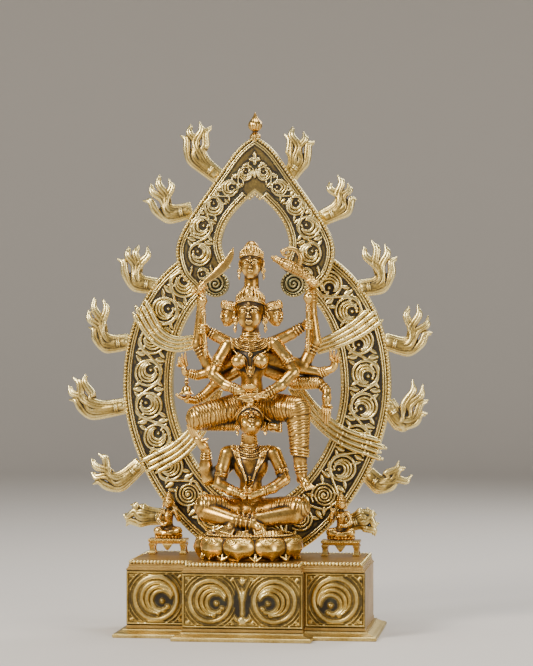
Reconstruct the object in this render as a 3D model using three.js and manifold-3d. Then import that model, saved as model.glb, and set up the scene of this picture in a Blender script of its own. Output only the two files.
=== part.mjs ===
// A cast brass shrine group: a many-armed goddess with several crowned heads sits on a cross-legged
// figure whose head is thrown back, on a lotus seat, on a hollow stepped plinth. A flaming ring with an
// onion-shaped crest stands behind them. Millimetres, +Z up, origin on the ground under the middle.
import * as THREE from 'three';
import { mergeVertices } from 'three/addons/utils/BufferGeometryUtils.js';
import Module from 'manifold-3d';

const wasm = await Module();
wasm.setup();

// ---- Driving dimensions -------------------------------------------------------------------------

const GAP = 0.35;                // clearance kept between separate castings
const FAR = 700;                 // beyond any part of the object

const FOOT = { half: 152.5, wingFront: -70, centreHalf: 80.5, centreFront: -96, rear: 96, top: 9.5 };
const WALL = { half: 138.5, wingFront: -56, centreHalf: 69.5, centreFront: -82, rear: 80, top: 80 };
const DECK = { top: 88, inset: 8, thick: 5 };
const WALL_THICK = 5;
const FOOT_STEP = { height: 4.5, inset: 5 };
const RAIL = { outer: 1.2, height: 6.2 };
const PANEL = { border: 6.5, bottom: 17, top: 74, thick: 2.3, recess: 2.9 };

const LOTUS = { y: -16, depthRatio: 0.8, foot: 58, belly: 69, waist: 53, top: 115, bottom: 88 };
const RIM = { outer: 51.5, inner: 47.5, height: 3.2 };

const RING = { front: 46, thick: 14, middle: 285 };
const RING_OUTER = { half: 161, top: 466, bottom: 75, topPower: 2.2, bottomPower: 1.75 };
const RING_INNER = { half: 101, top: 419, bottom: 144, topPower: 2.2, bottomPower: 1.75 };
const RING_GAP = { half: 58, from: 350 };      // the ring is open at the top, behind the crest

const CREST = { front: 33.5, thick: 12 };
const VOLUTE = { x: 46.7, z: 409, radius: 16 };
const FINIAL = { bottom: 584, tip: 613, radius: 8.2 };
const FLAME = { y: 53, thick: 12, wrist: 7.5, palm: 10.5, finger: 4.5, tip: 1.3 };
const SCARF = { y: 41.8, thick: 6, half: 13, narrowest: 0.62 };

const ATTENDANT = { x: 103, y: 33 };
const BENCH = { half: 23, depth: 11, top: 107, thick: 6, leg: { half: 4, deep: 3 } };

const BOLT = { shank: 3, head: 5.5, headHeight: 4, hole: 3.4, reach: 11, washer: 8, washerHeight: 1.5 };
const RING_BOLT_X = 30;
const LOTUS_BOLT_REACH = 14;

// ---- Materials ----------------------------------------------------------------------------------

const brass = (name, color, roughness) =>
  new THREE.MeshStandardMaterial({ name, color, roughness, metalness: 0.9 });
const RELIEF = brass('relief', 0xc2ad62, 0.5);
const FIGURE = brass('figure', 0xb5822f, 0.35);
const DEEP = brass('deep', 0x7a5a2c, 0.45);
const STEEL = brass('fixings', 0x8c8c88, 0.4);

// ---- Solids -------------------------------------------------------------------------------------

const v3 = (x, y, z) => new THREE.Vector3(x, y, z);
const mirrorX = ([x, ...rest]) => [-x, ...rest];

// A closed three.js geometry as a solid for joining and cutting.
function solid(geometry) {
  const bare = geometry.clone();
  bare.deleteAttribute('normal');
  bare.deleteAttribute('uv');
  const merged = mergeVertices(bare, 1e-3);
  const corners = merged.index.array;
  const faces = [];
  for (let i = 0; i < corners.length; i += 3) {
    const [a, b, c] = [corners[i], corners[i + 1], corners[i + 2]];
    if (a !== b && b !== c && c !== a) faces.push(a, b, c);
  }
  const vertProperties = Float32Array.from(merged.attributes.position.array);
  const build = (list) => new wasm.Manifold(new wasm.Mesh({
    numProp: 3, vertProperties, triVerts: Uint32Array.from(list),
  }));
  const body = build(faces);
  return body.volume() > 0 ? body : build(faces.reverse());
}

const join = (bodies) => bodies.reduce((whole, body) => whole.add(body));

function meshOf(name, body, material) {
  const data = body.getMesh();
  const geometry = new THREE.BufferGeometry();
  geometry.setAttribute('position', new THREE.BufferAttribute(data.vertProperties, 3));
  geometry.setIndex(new THREE.BufferAttribute(data.triVerts, 1));
  geometry.computeVertexNormals();
  const mesh = new THREE.Mesh(geometry, material);
  mesh.name = name;
  return mesh;
}

// A round body along +Z, from a profile of [radius, height] that starts and ends on the axis.
function turned(profile, sides) {
  const points = profile.map(([radius, height]) => new THREE.Vector2(radius, height));
  return new THREE.LatheGeometry(points, sides).rotateX(Math.PI / 2);
}

// A flat outline of [x, z] points, standing in the XZ plane, from y = front to y = front + thick.
function upright(outline, front, thick) {
  const shape = new THREE.Shape(outline.map(([x, z]) => new THREE.Vector2(x, z)));
  const geometry = new THREE.ExtrudeGeometry(shape, { depth: thick, bevelEnabled: false });
  return solid(geometry.rotateX(Math.PI / 2).translate(0, front + thick, 0));
}

// A flat outline of [x, y] points lying level, from z = bottom to z = top.
function slab(outline, bottom, top) {
  const shape = new THREE.Shape(outline.map(([x, y]) => new THREE.Vector2(x, y)));
  const geometry = new THREE.ExtrudeGeometry(shape, { depth: top - bottom, bevelEnabled: false });
  return solid(geometry.translate(0, 0, bottom));
}

const block = (low, high) => slab(
  [[low[0], low[1]], [high[0], low[1]], [high[0], high[1]], [low[0], high[1]]], low[2], high[2]);

// A tapered limb with coned ends between two points, grown outwards by `grow`.
function limb(from, to, startRadius, endRadius, grow = 0, sides = 6) {
  const axis = v3(...to).sub(v3(...from));
  const length = axis.length();
  const [r0, r1] = [startRadius + grow, endRadius + grow];
  const shoulder = 0.35;
  const profile = [[0, -r0], [r0, -shoulder * r0], [r1, length + shoulder * r1], [0, length + r1]];
  const turn = new THREE.Quaternion().setFromUnitVectors(v3(0, 0, 1), axis.normalize());
  return solid(turned(profile, sides).applyQuaternion(turn).translate(...from));
}

// A chain of limbs through [x, y, z, radius] stations.
function chain(stations, grow = 0, sides = 6) {
  const links = [];
  for (let i = 1; i < stations.length; i += 1) {
    const [a, b] = [stations[i - 1], stations[i]];
    links.push(limb(a.slice(0, 3), b.slice(0, 3), a[3], b[3], grow, sides));
  }
  return join(links);
}

function ball([x, y, z], [rx, ry, rz], grow = 0, across = 9, down = 6) {
  const geometry = new THREE.SphereGeometry(1, across, down).rotateX(Math.PI / 2);
  return solid(geometry.scale(rx + grow, ry + grow, rz + grow).translate(x, y, z));
}

// A smooth run of [x, z] points through a few hand-set ones.
function smooth(points, count) {
  const curve = new THREE.CatmullRomCurve3(points.map(([x, z]) => v3(x, 0, z)), false, 'centripetal');
  return curve.getPoints(count).map((p) => [p.x, p.z]);
}

// The same outline moved outwards by `distance`; it runs anticlockwise.
function offset(outline, distance) {
  return outline.map(([x, z], i) => {
    const [ax, az] = outline[(i + outline.length - 1) % outline.length];
    const [bx, bz] = outline[(i + 1) % outline.length];
    const before = new THREE.Vector2(z - az, ax - x).normalize();
    const after = new THREE.Vector2(bz - z, x - bx).normalize();
    const middle = before.clone().add(after).normalize();
    const reach = distance / Math.max(0.4, middle.dot(before));
    return [x + middle.x * reach, z + middle.y * reach];
  });
}

// ---- Plinth -------------------------------------------------------------------------------------

// The stepped plan: two wings with a bay standing forward between them, inset by `inset`.
function plan(size, inset = 0) {
  const half = size.half - inset;
  const bay = size.centreHalf - inset;
  const [front, wing, rear] = [size.centreFront + inset, size.wingFront + inset, size.rear - inset];
  return [[-half, wing], [-bay, wing], [-bay, front], [bay, front], [bay, wing], [half, wing],
    [half, rear], [-half, rear]];
}

const panelSpans = {
  left: [-WALL.half + PANEL.border, -WALL.centreHalf - PANEL.border, WALL.wingFront],
  centre: [-WALL.centreHalf + PANEL.border, WALL.centreHalf - PANEL.border, WALL.centreFront],
  right: [WALL.centreHalf + PANEL.border, WALL.half - PANEL.border, WALL.wingFront],
};

const rod = (x, y, radius, bottom, top, sides = 12) => solid(
  turned([[0, bottom], [radius, bottom], [radius, top], [0, top]], sides).translate(x, y, 0));

function plinthShell() {
  const walls = slab(plan(WALL), FOOT.top + GAP, WALL.top);
  const deck = slab(plan(WALL, DECK.inset), WALL.top - 1, DECK.top);
  const hollow = slab(plan(WALL, WALL_THICK), 0, WALL.top - DECK.thick);
  const under = slab(plan(WALL, DECK.inset + WALL_THICK), 0, DECK.top - DECK.thick);
  let body = walls.add(deck).subtract(hollow).subtract(under);
  for (const [low, high, front] of Object.values(panelSpans)) {
    body = body.subtract(block([low - GAP, front - 1, PANEL.bottom - GAP],
      [high + GAP, front + PANEL.recess, PANEL.top + GAP]));
  }
  for (const [x, y] of [[-RING_BOLT_X, ringMiddleY], [RING_BOLT_X, ringMiddleY], [0, LOTUS.y]]) {
    body = body.subtract(rod(x, y, BOLT.hole, 0, DECK.top + 1));
  }
  return body;
}

function footMoulding() {
  const lower = slab(plan(FOOT), 0, FOOT_STEP.height);
  const upper = slab(plan(FOOT, FOOT_STEP.inset), FOOT_STEP.height - 1, FOOT.top);
  return lower.add(upper).subtract(slab(plan(WALL, WALL_THICK), -1, FOOT.top + 1));
}

function beadRail() {
  const low = WALL.top + GAP;
  const band = slab(plan(WALL, RAIL.outer), low, low + RAIL.height);
  return band.subtract(slab(plan(WALL, DECK.inset - GAP), 0, DECK.top + 1));
}

function scrollPanel([low, high, front]) {
  const back = front + PANEL.recess - GAP;
  return block([low, back - PANEL.thick, PANEL.bottom], [high, back, PANEL.top]);
}

// A hex bolt under the deck, reaching up by `reach` above the deck's top.
function bolt(x, y, reach) {
  const seat = DECK.top - DECK.thick - GAP - BOLT.washerHeight - GAP;
  const head = rod(x, y, BOLT.head, seat - BOLT.headHeight, seat, 6);
  return head.add(rod(x, y, BOLT.shank, seat - 1, DECK.top + reach));
}

function washer(x, y) {
  const top = DECK.top - DECK.thick - GAP;
  const disc = rod(x, y, BOLT.washer, top - BOLT.washerHeight, top, 16);
  return disc.subtract(rod(x, y, BOLT.hole, 0, DECK.top));
}

// ---- Lotus seat ---------------------------------------------------------------------------------

function lotusSeat() {
  const { foot, belly, waist } = LOTUS;
  const low = LOTUS.bottom + GAP;
  const profile = [[0, low], [foot, low], [belly, low + 6], [belly - 1, low + 12]];
  profile.push([waist + 5, LOTUS.top - 6], [waist, LOTUS.top], [0, LOTUS.top]);
  const body = solid(turned(profile, 30).scale(1, LOTUS.depthRatio, 1).translate(0, LOTUS.y, 0));
  return body.subtract(rod(0, LOTUS.y, BOLT.hole, 0, LOTUS.bottom + LOTUS_BOLT_REACH + 2));
}

function lotusRim() {
  const low = LOTUS.top + GAP;
  const profile = [[RIM.inner, low], [RIM.outer, low], [RIM.outer, low + RIM.height],
    [RIM.inner, low + RIM.height], [RIM.inner, low]];
  return solid(turned(profile, 36).scale(1, LOTUS.depthRatio, 1).translate(0, LOTUS.y, 0));
}

// ---- Ring, crest and finial ---------------------------------------------------------------------

const ringMiddleY = RING.front + RING.thick / 2;

// An oval of two half superellipses that meet at its widest height.
function oval(size, grow = 0, count = 56) {
  const points = [];
  for (let i = 0; i < count; i += 1) {
    const angle = (i / count) * 2 * Math.PI;
    const upper = Math.sin(angle) >= 0;
    const power = 2 / (upper ? size.topPower : size.bottomPower);
    const rise = (upper ? size.top - RING.middle : RING.middle - size.bottom) + grow;
    const across = Math.sign(Math.cos(angle)) * Math.abs(Math.cos(angle)) ** power;
    const up = Math.sign(Math.sin(angle)) * Math.abs(Math.sin(angle)) ** power;
    points.push([(size.half + grow) * across, RING.middle + rise * up]);
  }
  return points;
}

function ringBand(grow = 0) {
  const [front, thick] = [RING.front - grow, RING.thick + 2 * grow];
  const outer = upright(oval(RING_OUTER, grow), front, thick);
  const inner = upright(oval(RING_INNER, -grow), front - 1, thick + 2);
  const band = outer.subtract(inner);
  const opening = block([-RING_GAP.half + grow, 0, RING_GAP.from], [RING_GAP.half - grow, FAR, FAR]);
  const belowDeck = block([-FAR, 0, 0], [FAR, FAR, DECK.top + GAP - grow]);
  return band.subtract(opening).subtract(belowDeck);
}

function ring() {
  let body = ringBand();
  for (const x of [-RING_BOLT_X, RING_BOLT_X]) {
    body = body.subtract(rod(x, ringMiddleY, BOLT.hole, 0, DECK.top + BOLT.reach + 2));
  }
  return body;
}

// The right half of the crest: down its outside from the apex, then up its inside to the arch's top.
const CREST_OUTER = [[0, 585], [21.6, 569], [46, 535.5], [71, 500], [86, 476], [94, 456], [94, 438],
  [86, 417], [66, 397]];
const CREST_INNER = [[30, 430], [37, 443], [40.5, 458], [36, 476], [27, 491.5], [12.7, 507], [0, 518]];

// The crest is a horseshoe. This runs once round it, anticlockwise, with the left half mirrored.
function crestOutline() {
  const right = [...smooth(CREST_OUTER, 16), ...smooth(CREST_INNER, 12)];
  const left = right.slice(1, -1).map(mirrorX).reverse();
  return [...right, ...left].reverse();
}

// The crest, with a round seat cut for each volute.
function crest(grow = 0) {
  const whole = upright(offset(crestOutline(), grow), CREST.front - grow, CREST.thick + 2 * grow);
  if (grow > 0) return whole;
  return [-1, 1].reduce((body, side) => body.subtract(volute(side, GAP)), whole);
}

function volute(side, grow = 0) {
  const { x, z, radius } = VOLUTE;
  const [low, high] = [CREST.front - 2 - grow, CREST.front + CREST.thick + grow];
  const profile = [[0, low], [radius + grow, low], [radius + grow, high], [0, high]];
  return solid(turned(profile, 24).rotateX(-Math.PI / 2).translate(side * x, 0, z));
}

function finial() {
  const { bottom, tip, radius } = FINIAL;
  const profile = [[0, bottom - 3], [5, bottom - 3], [5.5, bottom + 1], [3.4, bottom + 5],
    [radius, bottom + 12], [radius * 0.75, bottom + 18], [2, bottom + 25], [0, tip]];
  const body = solid(turned(profile, 12).translate(0, CREST.front + CREST.thick / 2, 0));
  return body.subtract(crest(GAP));
}

// Each flame is a tuft of four fingers: where it leaves the edge, its palm, and its finger tips.
const FLAMES = {
  left_1: {
    root: [-50, 541], palm: [-72, 559], tips: [[-90, 588], [-80, 600], [-67, 603], [-55, 598]],
  },
  left_2: {
    root: [-84, 497], palm: [-106, 492], tips: [[-136, 511], [-128, 529], [-118, 540], [-104, 535]],
  },
  left_3: {
    root: [-126, 408], palm: [-146, 411], tips: [[-167, 441], [-155, 454], [-143, 456], [-130, 454]],
  },
  left_4: {
    root: [-160, 340], palm: [-183, 337], tips: [[-202, 359], [-204, 378], [-197, 393], [-184, 391]],
  },
  left_5: {
    root: [-163, 263], palm: [-196, 257], tips: [[-222, 286], [-217, 296], [-206, 300], [-221, 272]],
  },
  left_6: {
    root: [-144, 190], palm: [-166, 170], tips: [[-200, 199], [-190, 207], [-200, 183], [-198, 171]],
  },
  left_7: {
    root: [-112, 131], palm: [-136, 132], tips: [[-161, 133], [-151, 146], [-135, 146], [-158, 121]],
  },
  right_1: {
    root: [43, 542], palm: [50, 553], tips: [[35, 588], [43, 596], [58, 590], [69, 579]],
  },
  right_2: {
    root: [84, 490], palm: [103, 499], tips: [[87, 530], [99, 538], [111, 528], [119, 510]],
  },
  right_3: {
    root: [128, 405], palm: [151, 408], tips: [[128, 453], [139, 461], [155, 456], [167, 441]],
  },
  right_4: {
    root: [159, 340], palm: [185, 333], tips: [[183, 382], [196, 384], [210, 370], [215, 354]],
  },
  right_5: {
    root: [160, 263], palm: [174, 241], tips: [[188, 295], [200, 289], [204, 272], [203, 256]],
  },
  right_6: {
    root: [137, 180], palm: [149, 169], tips: [[171, 198], [177, 192], [186, 181], [173, 176]],
  },
  right_7: {
    root: [112, 125], palm: [126, 130], tips: [[134, 143], [143, 136], [146, 124], [142, 111]],
  },
};

function flame({ root, palm, tips }, edges) {
  const at = ([x, z]) => [x, FLAME.y, z];
  const wrist = limb(at(root), at(palm), FLAME.wrist, FLAME.palm, 0, 5);
  const fingers = tips.map((tip) => limb(at(palm), at(tip), FLAME.finger, FLAME.tip, 0, 3));
  const half = FLAME.thick / 2;
  const sheet = block([-FAR, FLAME.y - half, 0], [FAR, FLAME.y + half, FAR]);
  return join([wrist, ...fingers]).intersect(sheet).subtract(edges);
}

// ---- Scarves ------------------------------------------------------------------------------------

// Each scarf is a flat band of four strands along a smooth run from behind the figures to the ring.
const SCARVES = {
  upper_left: [[-74, 340], [-98, 338], [-120, 350], [-139, 381]],
  upper_right: [[74, 334], [98, 343], [122, 356], [141, 371]],
  lower_left: [[-47, 284], [-64, 244], [-90, 213], [-128, 191]],
  lower_right: [[46, 288], [72, 254], [104, 229], [150, 213]],
};

function scarf(points) {
  const middle = smooth(points, 14);
  const edge = (side) => middle.map(([x, z], i) => {
    const [ax, az] = middle[Math.max(0, i - 1)];
    const [bx, bz] = middle[Math.min(middle.length - 1, i + 1)];
    const across = new THREE.Vector2(az - bz, bx - ax).normalize();
    const along = i / (middle.length - 1);
    const half = SCARF.half * THREE.MathUtils.lerp(SCARF.narrowest, 1, along);
    return [x + side * across.x * half, z + side * across.y * half];
  });
  return upright([...edge(-1), ...edge(1).reverse()], SCARF.y - SCARF.thick / 2, SCARF.thick);
}

// ---- The lower figure ---------------------------------------------------------------------------

const LOWER_HEAD = { at: [-1, -20, 249], radii: [16, 17, 16.5] };

const lowerHead = (grow = 0) => ball(LOWER_HEAD.at, LOWER_HEAD.radii, grow);

const LOWER_LIMBS = [
  [[0, -2, 141, 22], [0, 0, 172, 16], [0, -1, 202, 20]],
  [[-22, -1, 213, 10], [22, -1, 213, 10]],
  [[0, -4, 216, 10], [-1, -12, 232, 8]],
  [[-29, -3, 211, 9], [-35, -8, 174, 7.5], [-8, -30, 165, 6]],
  [[29, -3, 211, 9], [40, -8, 184, 7.5], [14, -30, 166, 6]],
  [[-26, 6, 200, 9], [-48, 8, 180, 8.5], [-52, 2, 208, 6.5], [-64, -6, 233, 5]],
  [[-16, -8, 141, 17], [-54, -22, 148, 14.5]],
  [[16, -8, 141, 17], [58, -22, 147, 14.5]],
  [[-54, -24, 140, 12], [12, -44, 130, 8], [18, -48, 126.5, 6.5]],
  [[58, -24, 140, 12], [-14, -40, 130, 8], [-24, -45, 126.5, 6.5]],
];

function lowerFigure(grow = 0) {
  const body = join(LOWER_LIMBS.map((stations) => chain(stations, grow)));
  if (grow > 0) return body;
  return body.subtract(lowerHead(GAP));
}

// ---- The goddess --------------------------------------------------------------------------------

const GODDESS_LIMBS = [
  [[0, 12, 270, 20], [0, 8, 294, 13], [0, 5, 322, 19]],
  [[-24, 5, 338, 9], [24, 5, 338, 9]],
  [[0, 3, 340, 11], [-1, 1, 354, 8.5]],
  [[-30, 4, 336, 9], [-45, -4, 303, 7.5], [-6, -27, 284, 5.5]],
  [[29, 4, 340, 9], [50, -4, 308, 7.5], [12, -27, 278, 5.5]],
  [[-10, 10, 268, 17], [-64, -14, 252, 14], [-24, 6, 246, 9]],
  [[10, 10, 268, 17], [56, -14, 266, 16], [60, -18, 212, 10.5], [61, -18, 190, 7], [71, -28, 171, 6]],
];

const BUST = [[-14, -13, 319], [14, -13, 320]];

const HEADS = {
  main: { at: [-1, 0, 371], radii: [17.5, 18.5, 20], crown: 409 },
  upper: { at: [-1, 4, 429], radii: [15, 16, 15], crown: 455, neck: 8 },
  left: { at: [-29, 9, 371], radii: [10.5, 12, 12], crown: 385 },
  right: { at: [29, 9, 371], radii: [10.5, 12, 12], crown: 385 },
};

function goddessBody(grow = 0) {
  const parts = GODDESS_LIMBS.map((stations) => chain(stations, grow));
  parts.push(...BUST.map((at) => ball(at, [9.5, 9, 9.5], grow)));
  const body = join(parts);
  if (grow > 0) return body;
  return body.subtract(lowerFigure(GAP)).subtract(lowerHead(GAP));
}

function head({ at: [x, y, z], radii, crown, neck }, grow = 0) {
  const skull = ball([x, y, z], radii, grow);
  const band = radii[0] * 0.98;
  const low = z + radii[2] * 0.35;
  const cap = limb([x, y, low], [x, y, crown - 4], band, 4, grow, 8);
  if (!neck) return skull.add(cap);
  const stem = limb([x, y, z - radii[2] * 0.6], [x, y, z - radii[2] - 3], neck, neck, grow);
  return join([skull, cap, stem]);
}

// ---- Rear arms and what they hold ---------------------------------------------------------------

const ARMS = {
  left: [
    [[-22, 12, 336, 8], [-46, 17, 349, 7], [-58, 16, 353, 6]],
    [[-18, 14, 322, 9], [-50, 18, 306, 7.5], [-67, 20, 340, 6.5], [-61, 19, 405, 5.5]],
    [[-18, 14, 318, 9], [-52, 17, 303, 7], [-72, 17, 300, 5.5], [-80, 13, 306, 5], [-82, 10, 322, 4.5]],
    [[-16, 14, 308, 9], [-46, 18, 288, 7], [-60, 17, 273, 5.5], [-75, 12, 273, 4.5]],
  ],
  right: [
    [[22, 12, 338, 8], [48, 17, 350, 7], [66, 16, 357, 6]],
    [[18, 14, 324, 9], [62, 18, 312, 7.5], [75, 20, 345, 6.5], [69, 19, 405, 5.5]],
    [[18, 14, 318, 9], [58, 17, 307, 7], [90, 17, 307, 5.5], [97, 13, 314, 5], [98, 10, 329, 4.5]],
    [[16, 14, 308, 9], [50, 18, 286, 7], [80, 17, 291, 6], [88, 13, 280, 5], [87, 9, 266, 5],
      [87, 8, 246, 3]],
  ],
};

const STAFFS = {
  left: { top: [-59, 6, 399], foot: [-54, 6, 322] },
  right: { top: [67, 6, 402], foot: [66, 6, 328] },
};

function staff({ top, foot }, grow = 0) {
  const neck = v3(...foot).lerp(v3(...top), 0.82).toArray();
  const bud = v3(...foot).lerp(v3(...top), 0.9).toArray();
  const shaft = limb(foot, neck, 3, 3, grow);
  return join([shaft, limb(neck, bud, 3, 5.5, grow), limb(bud, top, 5.5, 1, grow)]);
}

const SWORD = [[-61, 8, 404, 3], [-56, 8, 412, 3.5], [-41, 8, 424, 5], [-27, 8, 438, 4],
  [-22, 8, 450, 1.5]];
const BELL = [[-77, 4, 282, 8], [-77, 4, 286, 5], [-77, 4, 294, 3], [-77, 4, 300, 2]];
const CONCH = [[72, 8, 414, 3], [62, 8, 420, 5], [50, 8, 427, 8], [38, 8, 433, 7], [28, 8, 438, 3]];
const CONCH_LOOP = { centre: [46, 8, 444], radius: 8, tube: 2, squash: 0.8 };
const CUP = { at: [3, -37, 288], radius: 9.5 };

function conch(grow = 0) {
  const { centre, radius, tube, squash } = CONCH_LOOP;
  const loop = solid(new THREE.TorusGeometry(radius, tube + grow, 6, 14).rotateX(Math.PI / 2)
    .scale(1, 1, squash).translate(...centre));
  return chain(CONCH, grow).add(loop);
}

// A shallow bowl, held in the front hands.
function cup() {
  const rim = CUP.radius;
  const inside = [[rim * 0.74, 3], [rim * 0.53, -1], [0, -2]];
  const profile = [[0, -5], [rim * 0.42, -5], [rim * 0.95, 0], [rim, 3], ...inside];
  return solid(turned(profile, 14).translate(...CUP.at));
}

function rearArms(side) {
  const arms = join(ARMS[side].map((stations) => chain(stations)));
  let body = arms.subtract(goddessBody(GAP)).subtract(staff(STAFFS[side], GAP));
  for (const name of ['main', side]) body = body.subtract(head(HEADS[name], GAP));
  body = body.subtract(lowerFigure(GAP));
  if (side === 'right') return body.subtract(conch(GAP));
  return body.subtract(chain(SWORD, GAP)).subtract(chain(BELL, GAP));
}

// ---- Attendants ---------------------------------------------------------------------------------

function bench(side) {
  const [x, y] = [side * ATTENDANT.x, ATTENDANT.y];
  const { half, depth, top, thick, leg } = BENCH;
  const seat = block([x - half, y - depth, top - thick], [x + half, y + depth, top]);
  const legs = [-1, 1].flatMap((across) => [-1, 1].map((along) => {
    const [cx, cy] = [x + across * (half - leg.half), y + along * (depth - leg.deep)];
    return block([cx - leg.half, cy - leg.deep, DECK.top + GAP],
      [cx + leg.half, cy + leg.deep, top - thick + 1]);
  }));
  return join([seat, ...legs]);
}

function attendant(side) {
  const [x, y] = [side * ATTENDANT.x, ATTENDANT.y];
  const seat = BENCH.top + GAP;
  const lap = [-1, 1].map((way) => limb([x, y, seat + 6], [x + way * 12, y - 4, seat + 6], 6, 5.8, 0, 5));
  const torso = chain([[x, y, seat + 7, 6.5], [x, y, seat + 20, 5], [x, y, seat + 31, 6]], 0, 6);
  const arms = [-1, 1].map((way) => chain([[x + way * 5, y, seat + 32, 3.2],
    [x + way * 12, y - 2, seat + 22, 2.8], [x + way * 1, y - 8, seat + 26, 2.2]], 0, 4));
  const skull = ball([x, y, seat + 42], [5.8, 6, 6.8], 0, 7, 4);
  const crown = limb([x, y, seat + 46], [x, y, seat + 53], 4, 1.6, 0, 5);
  return join([...lap, torso, ...arms, skull, crown]);
}

// ---- Assembly -----------------------------------------------------------------------------------

const group = new THREE.Group();
const add = (name, body, material) => group.add(meshOf(name, body, material));

add('plinth_shell', plinthShell(), DEEP);
add('foot_moulding', footMoulding(), RELIEF);
add('bead_rail', beadRail(), RELIEF);
for (const [name, span] of Object.entries(panelSpans)) {
  add(`scroll_panel_${name}`, scrollPanel(span), RELIEF);
}

for (const [name, x] of [['left', -RING_BOLT_X], ['right', RING_BOLT_X]]) {
  add(`ring_bolt_${name}`, bolt(x, ringMiddleY, BOLT.reach), STEEL);
  add(`ring_washer_${name}`, washer(x, ringMiddleY), STEEL);
}
add('lotus_bolt', bolt(0, LOTUS.y, LOTUS_BOLT_REACH), STEEL);
add('lotus_washer', washer(0, LOTUS.y), STEEL);

add('lotus_seat', lotusSeat(), FIGURE);
add('lotus_rim', lotusRim(), FIGURE);

add('lower_figure', lowerFigure(), FIGURE);
add('lower_head', lowerHead(), FIGURE);

const figures = [lowerFigure(GAP), lowerHead(GAP), goddessBody(GAP)];
add('goddess_body', goddessBody(), FIGURE);
const mainHead = head(HEADS.main).subtract(goddessBody(GAP));
add('goddess_head', mainHead, FIGURE);
add('upper_head', head(HEADS.upper).subtract(head(HEADS.main, GAP)), FIGURE);
for (const side of ['left', 'right']) {
  const body = head(HEADS[side]).subtract(head(HEADS.main, GAP)).subtract(goddessBody(GAP));
  add(`side_head_${side}`, body, FIGURE);
  add(`rear_arms_${side}`, rearArms(side), FIGURE);
  add(`staff_${side}`, staff(STAFFS[side]), FIGURE);
}
add('sword', chain(SWORD), FIGURE);
add('bell', chain(BELL), FIGURE);
add('conch', conch(), FIGURE);
add('cup', cup().subtract(join(figures)), FIGURE);

add('ring', ring(), RELIEF);
add('crest', crest(), RELIEF);
for (const [name, side] of [['left', -1], ['right', 1]]) {
  add(`volute_${name}`, volute(side), RELIEF);
}
add('finial', finial(), RELIEF);

const edges = ringBand(GAP).add(crest(GAP));
for (const [name, shape] of Object.entries(FLAMES)) add(`flame_${name}`, flame(shape, edges), RELIEF);

for (const [name, points] of Object.entries(SCARVES)) {
  const body = scarf(points).subtract(join(figures));
  add(`scarf_${name}`, body, RELIEF);
}

for (const [name, side] of [['left', -1], ['right', 1]]) {
  add(`bench_${name}`, bench(side), FIGURE);
  add(`attendant_${name}`, attendant(side), FIGURE);
}

export default group;
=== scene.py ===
import math

import bpy
import numpy as np
import openvdb
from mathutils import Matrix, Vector


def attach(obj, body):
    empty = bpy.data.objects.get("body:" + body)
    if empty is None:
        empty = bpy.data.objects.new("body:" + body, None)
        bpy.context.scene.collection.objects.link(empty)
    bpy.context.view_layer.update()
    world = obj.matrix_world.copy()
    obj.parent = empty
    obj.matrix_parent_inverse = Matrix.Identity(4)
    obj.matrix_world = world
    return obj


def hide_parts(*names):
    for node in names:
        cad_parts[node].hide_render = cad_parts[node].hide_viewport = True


# A cast brass shrine group. Shapes are worked in millimetres and become metres when a mesh is made.
# The front of the object faces -Y. Organic pieces are "clay": a grid of distances that is joined,
# carved and then skinned. Relief bands are lofts whose front carries heights drawn with strokes.

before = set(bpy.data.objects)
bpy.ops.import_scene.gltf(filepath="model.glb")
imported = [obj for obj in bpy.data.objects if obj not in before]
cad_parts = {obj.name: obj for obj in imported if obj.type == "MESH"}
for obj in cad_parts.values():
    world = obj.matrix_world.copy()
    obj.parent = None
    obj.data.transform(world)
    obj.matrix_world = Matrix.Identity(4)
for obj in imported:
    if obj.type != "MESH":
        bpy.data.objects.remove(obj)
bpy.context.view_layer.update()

MM = 0.001
SIDES = ((-1, "left"), (1, "right"))
FAR = 9.0                                  # distance stored where a clay grid holds nothing


# ---- Small vector helpers -----------------------------------------------------------------------

def vec(*values):
    return np.array(values, float)


def unit(v):
    v = np.asarray(v, float)
    return v / max(1e-9, float(np.linalg.norm(v)))


def smooth_path(points, per_span=8):
    """A Catmull-Rom run through the points, which may carry extra columns such as a radius."""
    p = np.array(points, float)
    p = np.vstack([2 * p[0] - p[1], p, 2 * p[-1] - p[-2]])
    out = []
    t = np.linspace(0, 1, per_span, endpoint=False)[:, None]
    for a, b, c, d in zip(p[:-3], p[1:-2], p[2:-1], p[3:]):
        out.append(0.5 * (2 * b + (c - a) * t + (2 * a - 5 * b + 4 * c - d) * t ** 2
                          + (3 * b - a - 3 * c + d) * t ** 3))
    return np.vstack([*out, p[-2:-1]])


def evenly(path, spacing=None, count=None):
    """The path resampled at even spacing along its first three (or two) columns."""
    path = np.asarray(path, float)
    size = min(3, path.shape[1])
    steps = np.linalg.norm(np.diff(path[:, :size], axis=0), axis=1)
    along = np.concatenate([[0], np.cumsum(steps)])
    if count is None:
        count = max(2, int(round(along[-1] / spacing)) + 1)
    at = np.linspace(0, along[-1], count)
    return np.column_stack([np.interp(at, along, path[:, k]) for k in range(path.shape[1])])


def turn_about(axis, degrees):
    """A rotation matrix about a unit axis."""
    x, y, z = unit(axis)
    c, s = math.cos(math.radians(degrees)), math.sin(math.radians(degrees))
    k = np.array([[0, -z, y], [z, 0, -x], [-y, x, 0]])
    return np.eye(3) + s * k + (1 - c) * (k @ k)


def soft_min(a, b, blend):
    if blend <= 0:
        return np.minimum(a, b)
    h = np.clip(0.5 + 0.5 * (b - a) / blend, 0, 1)
    return a * h + b * (1 - h) - blend * h * (1 - h)


# ---- Clay ---------------------------------------------------------------------------------------

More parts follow.
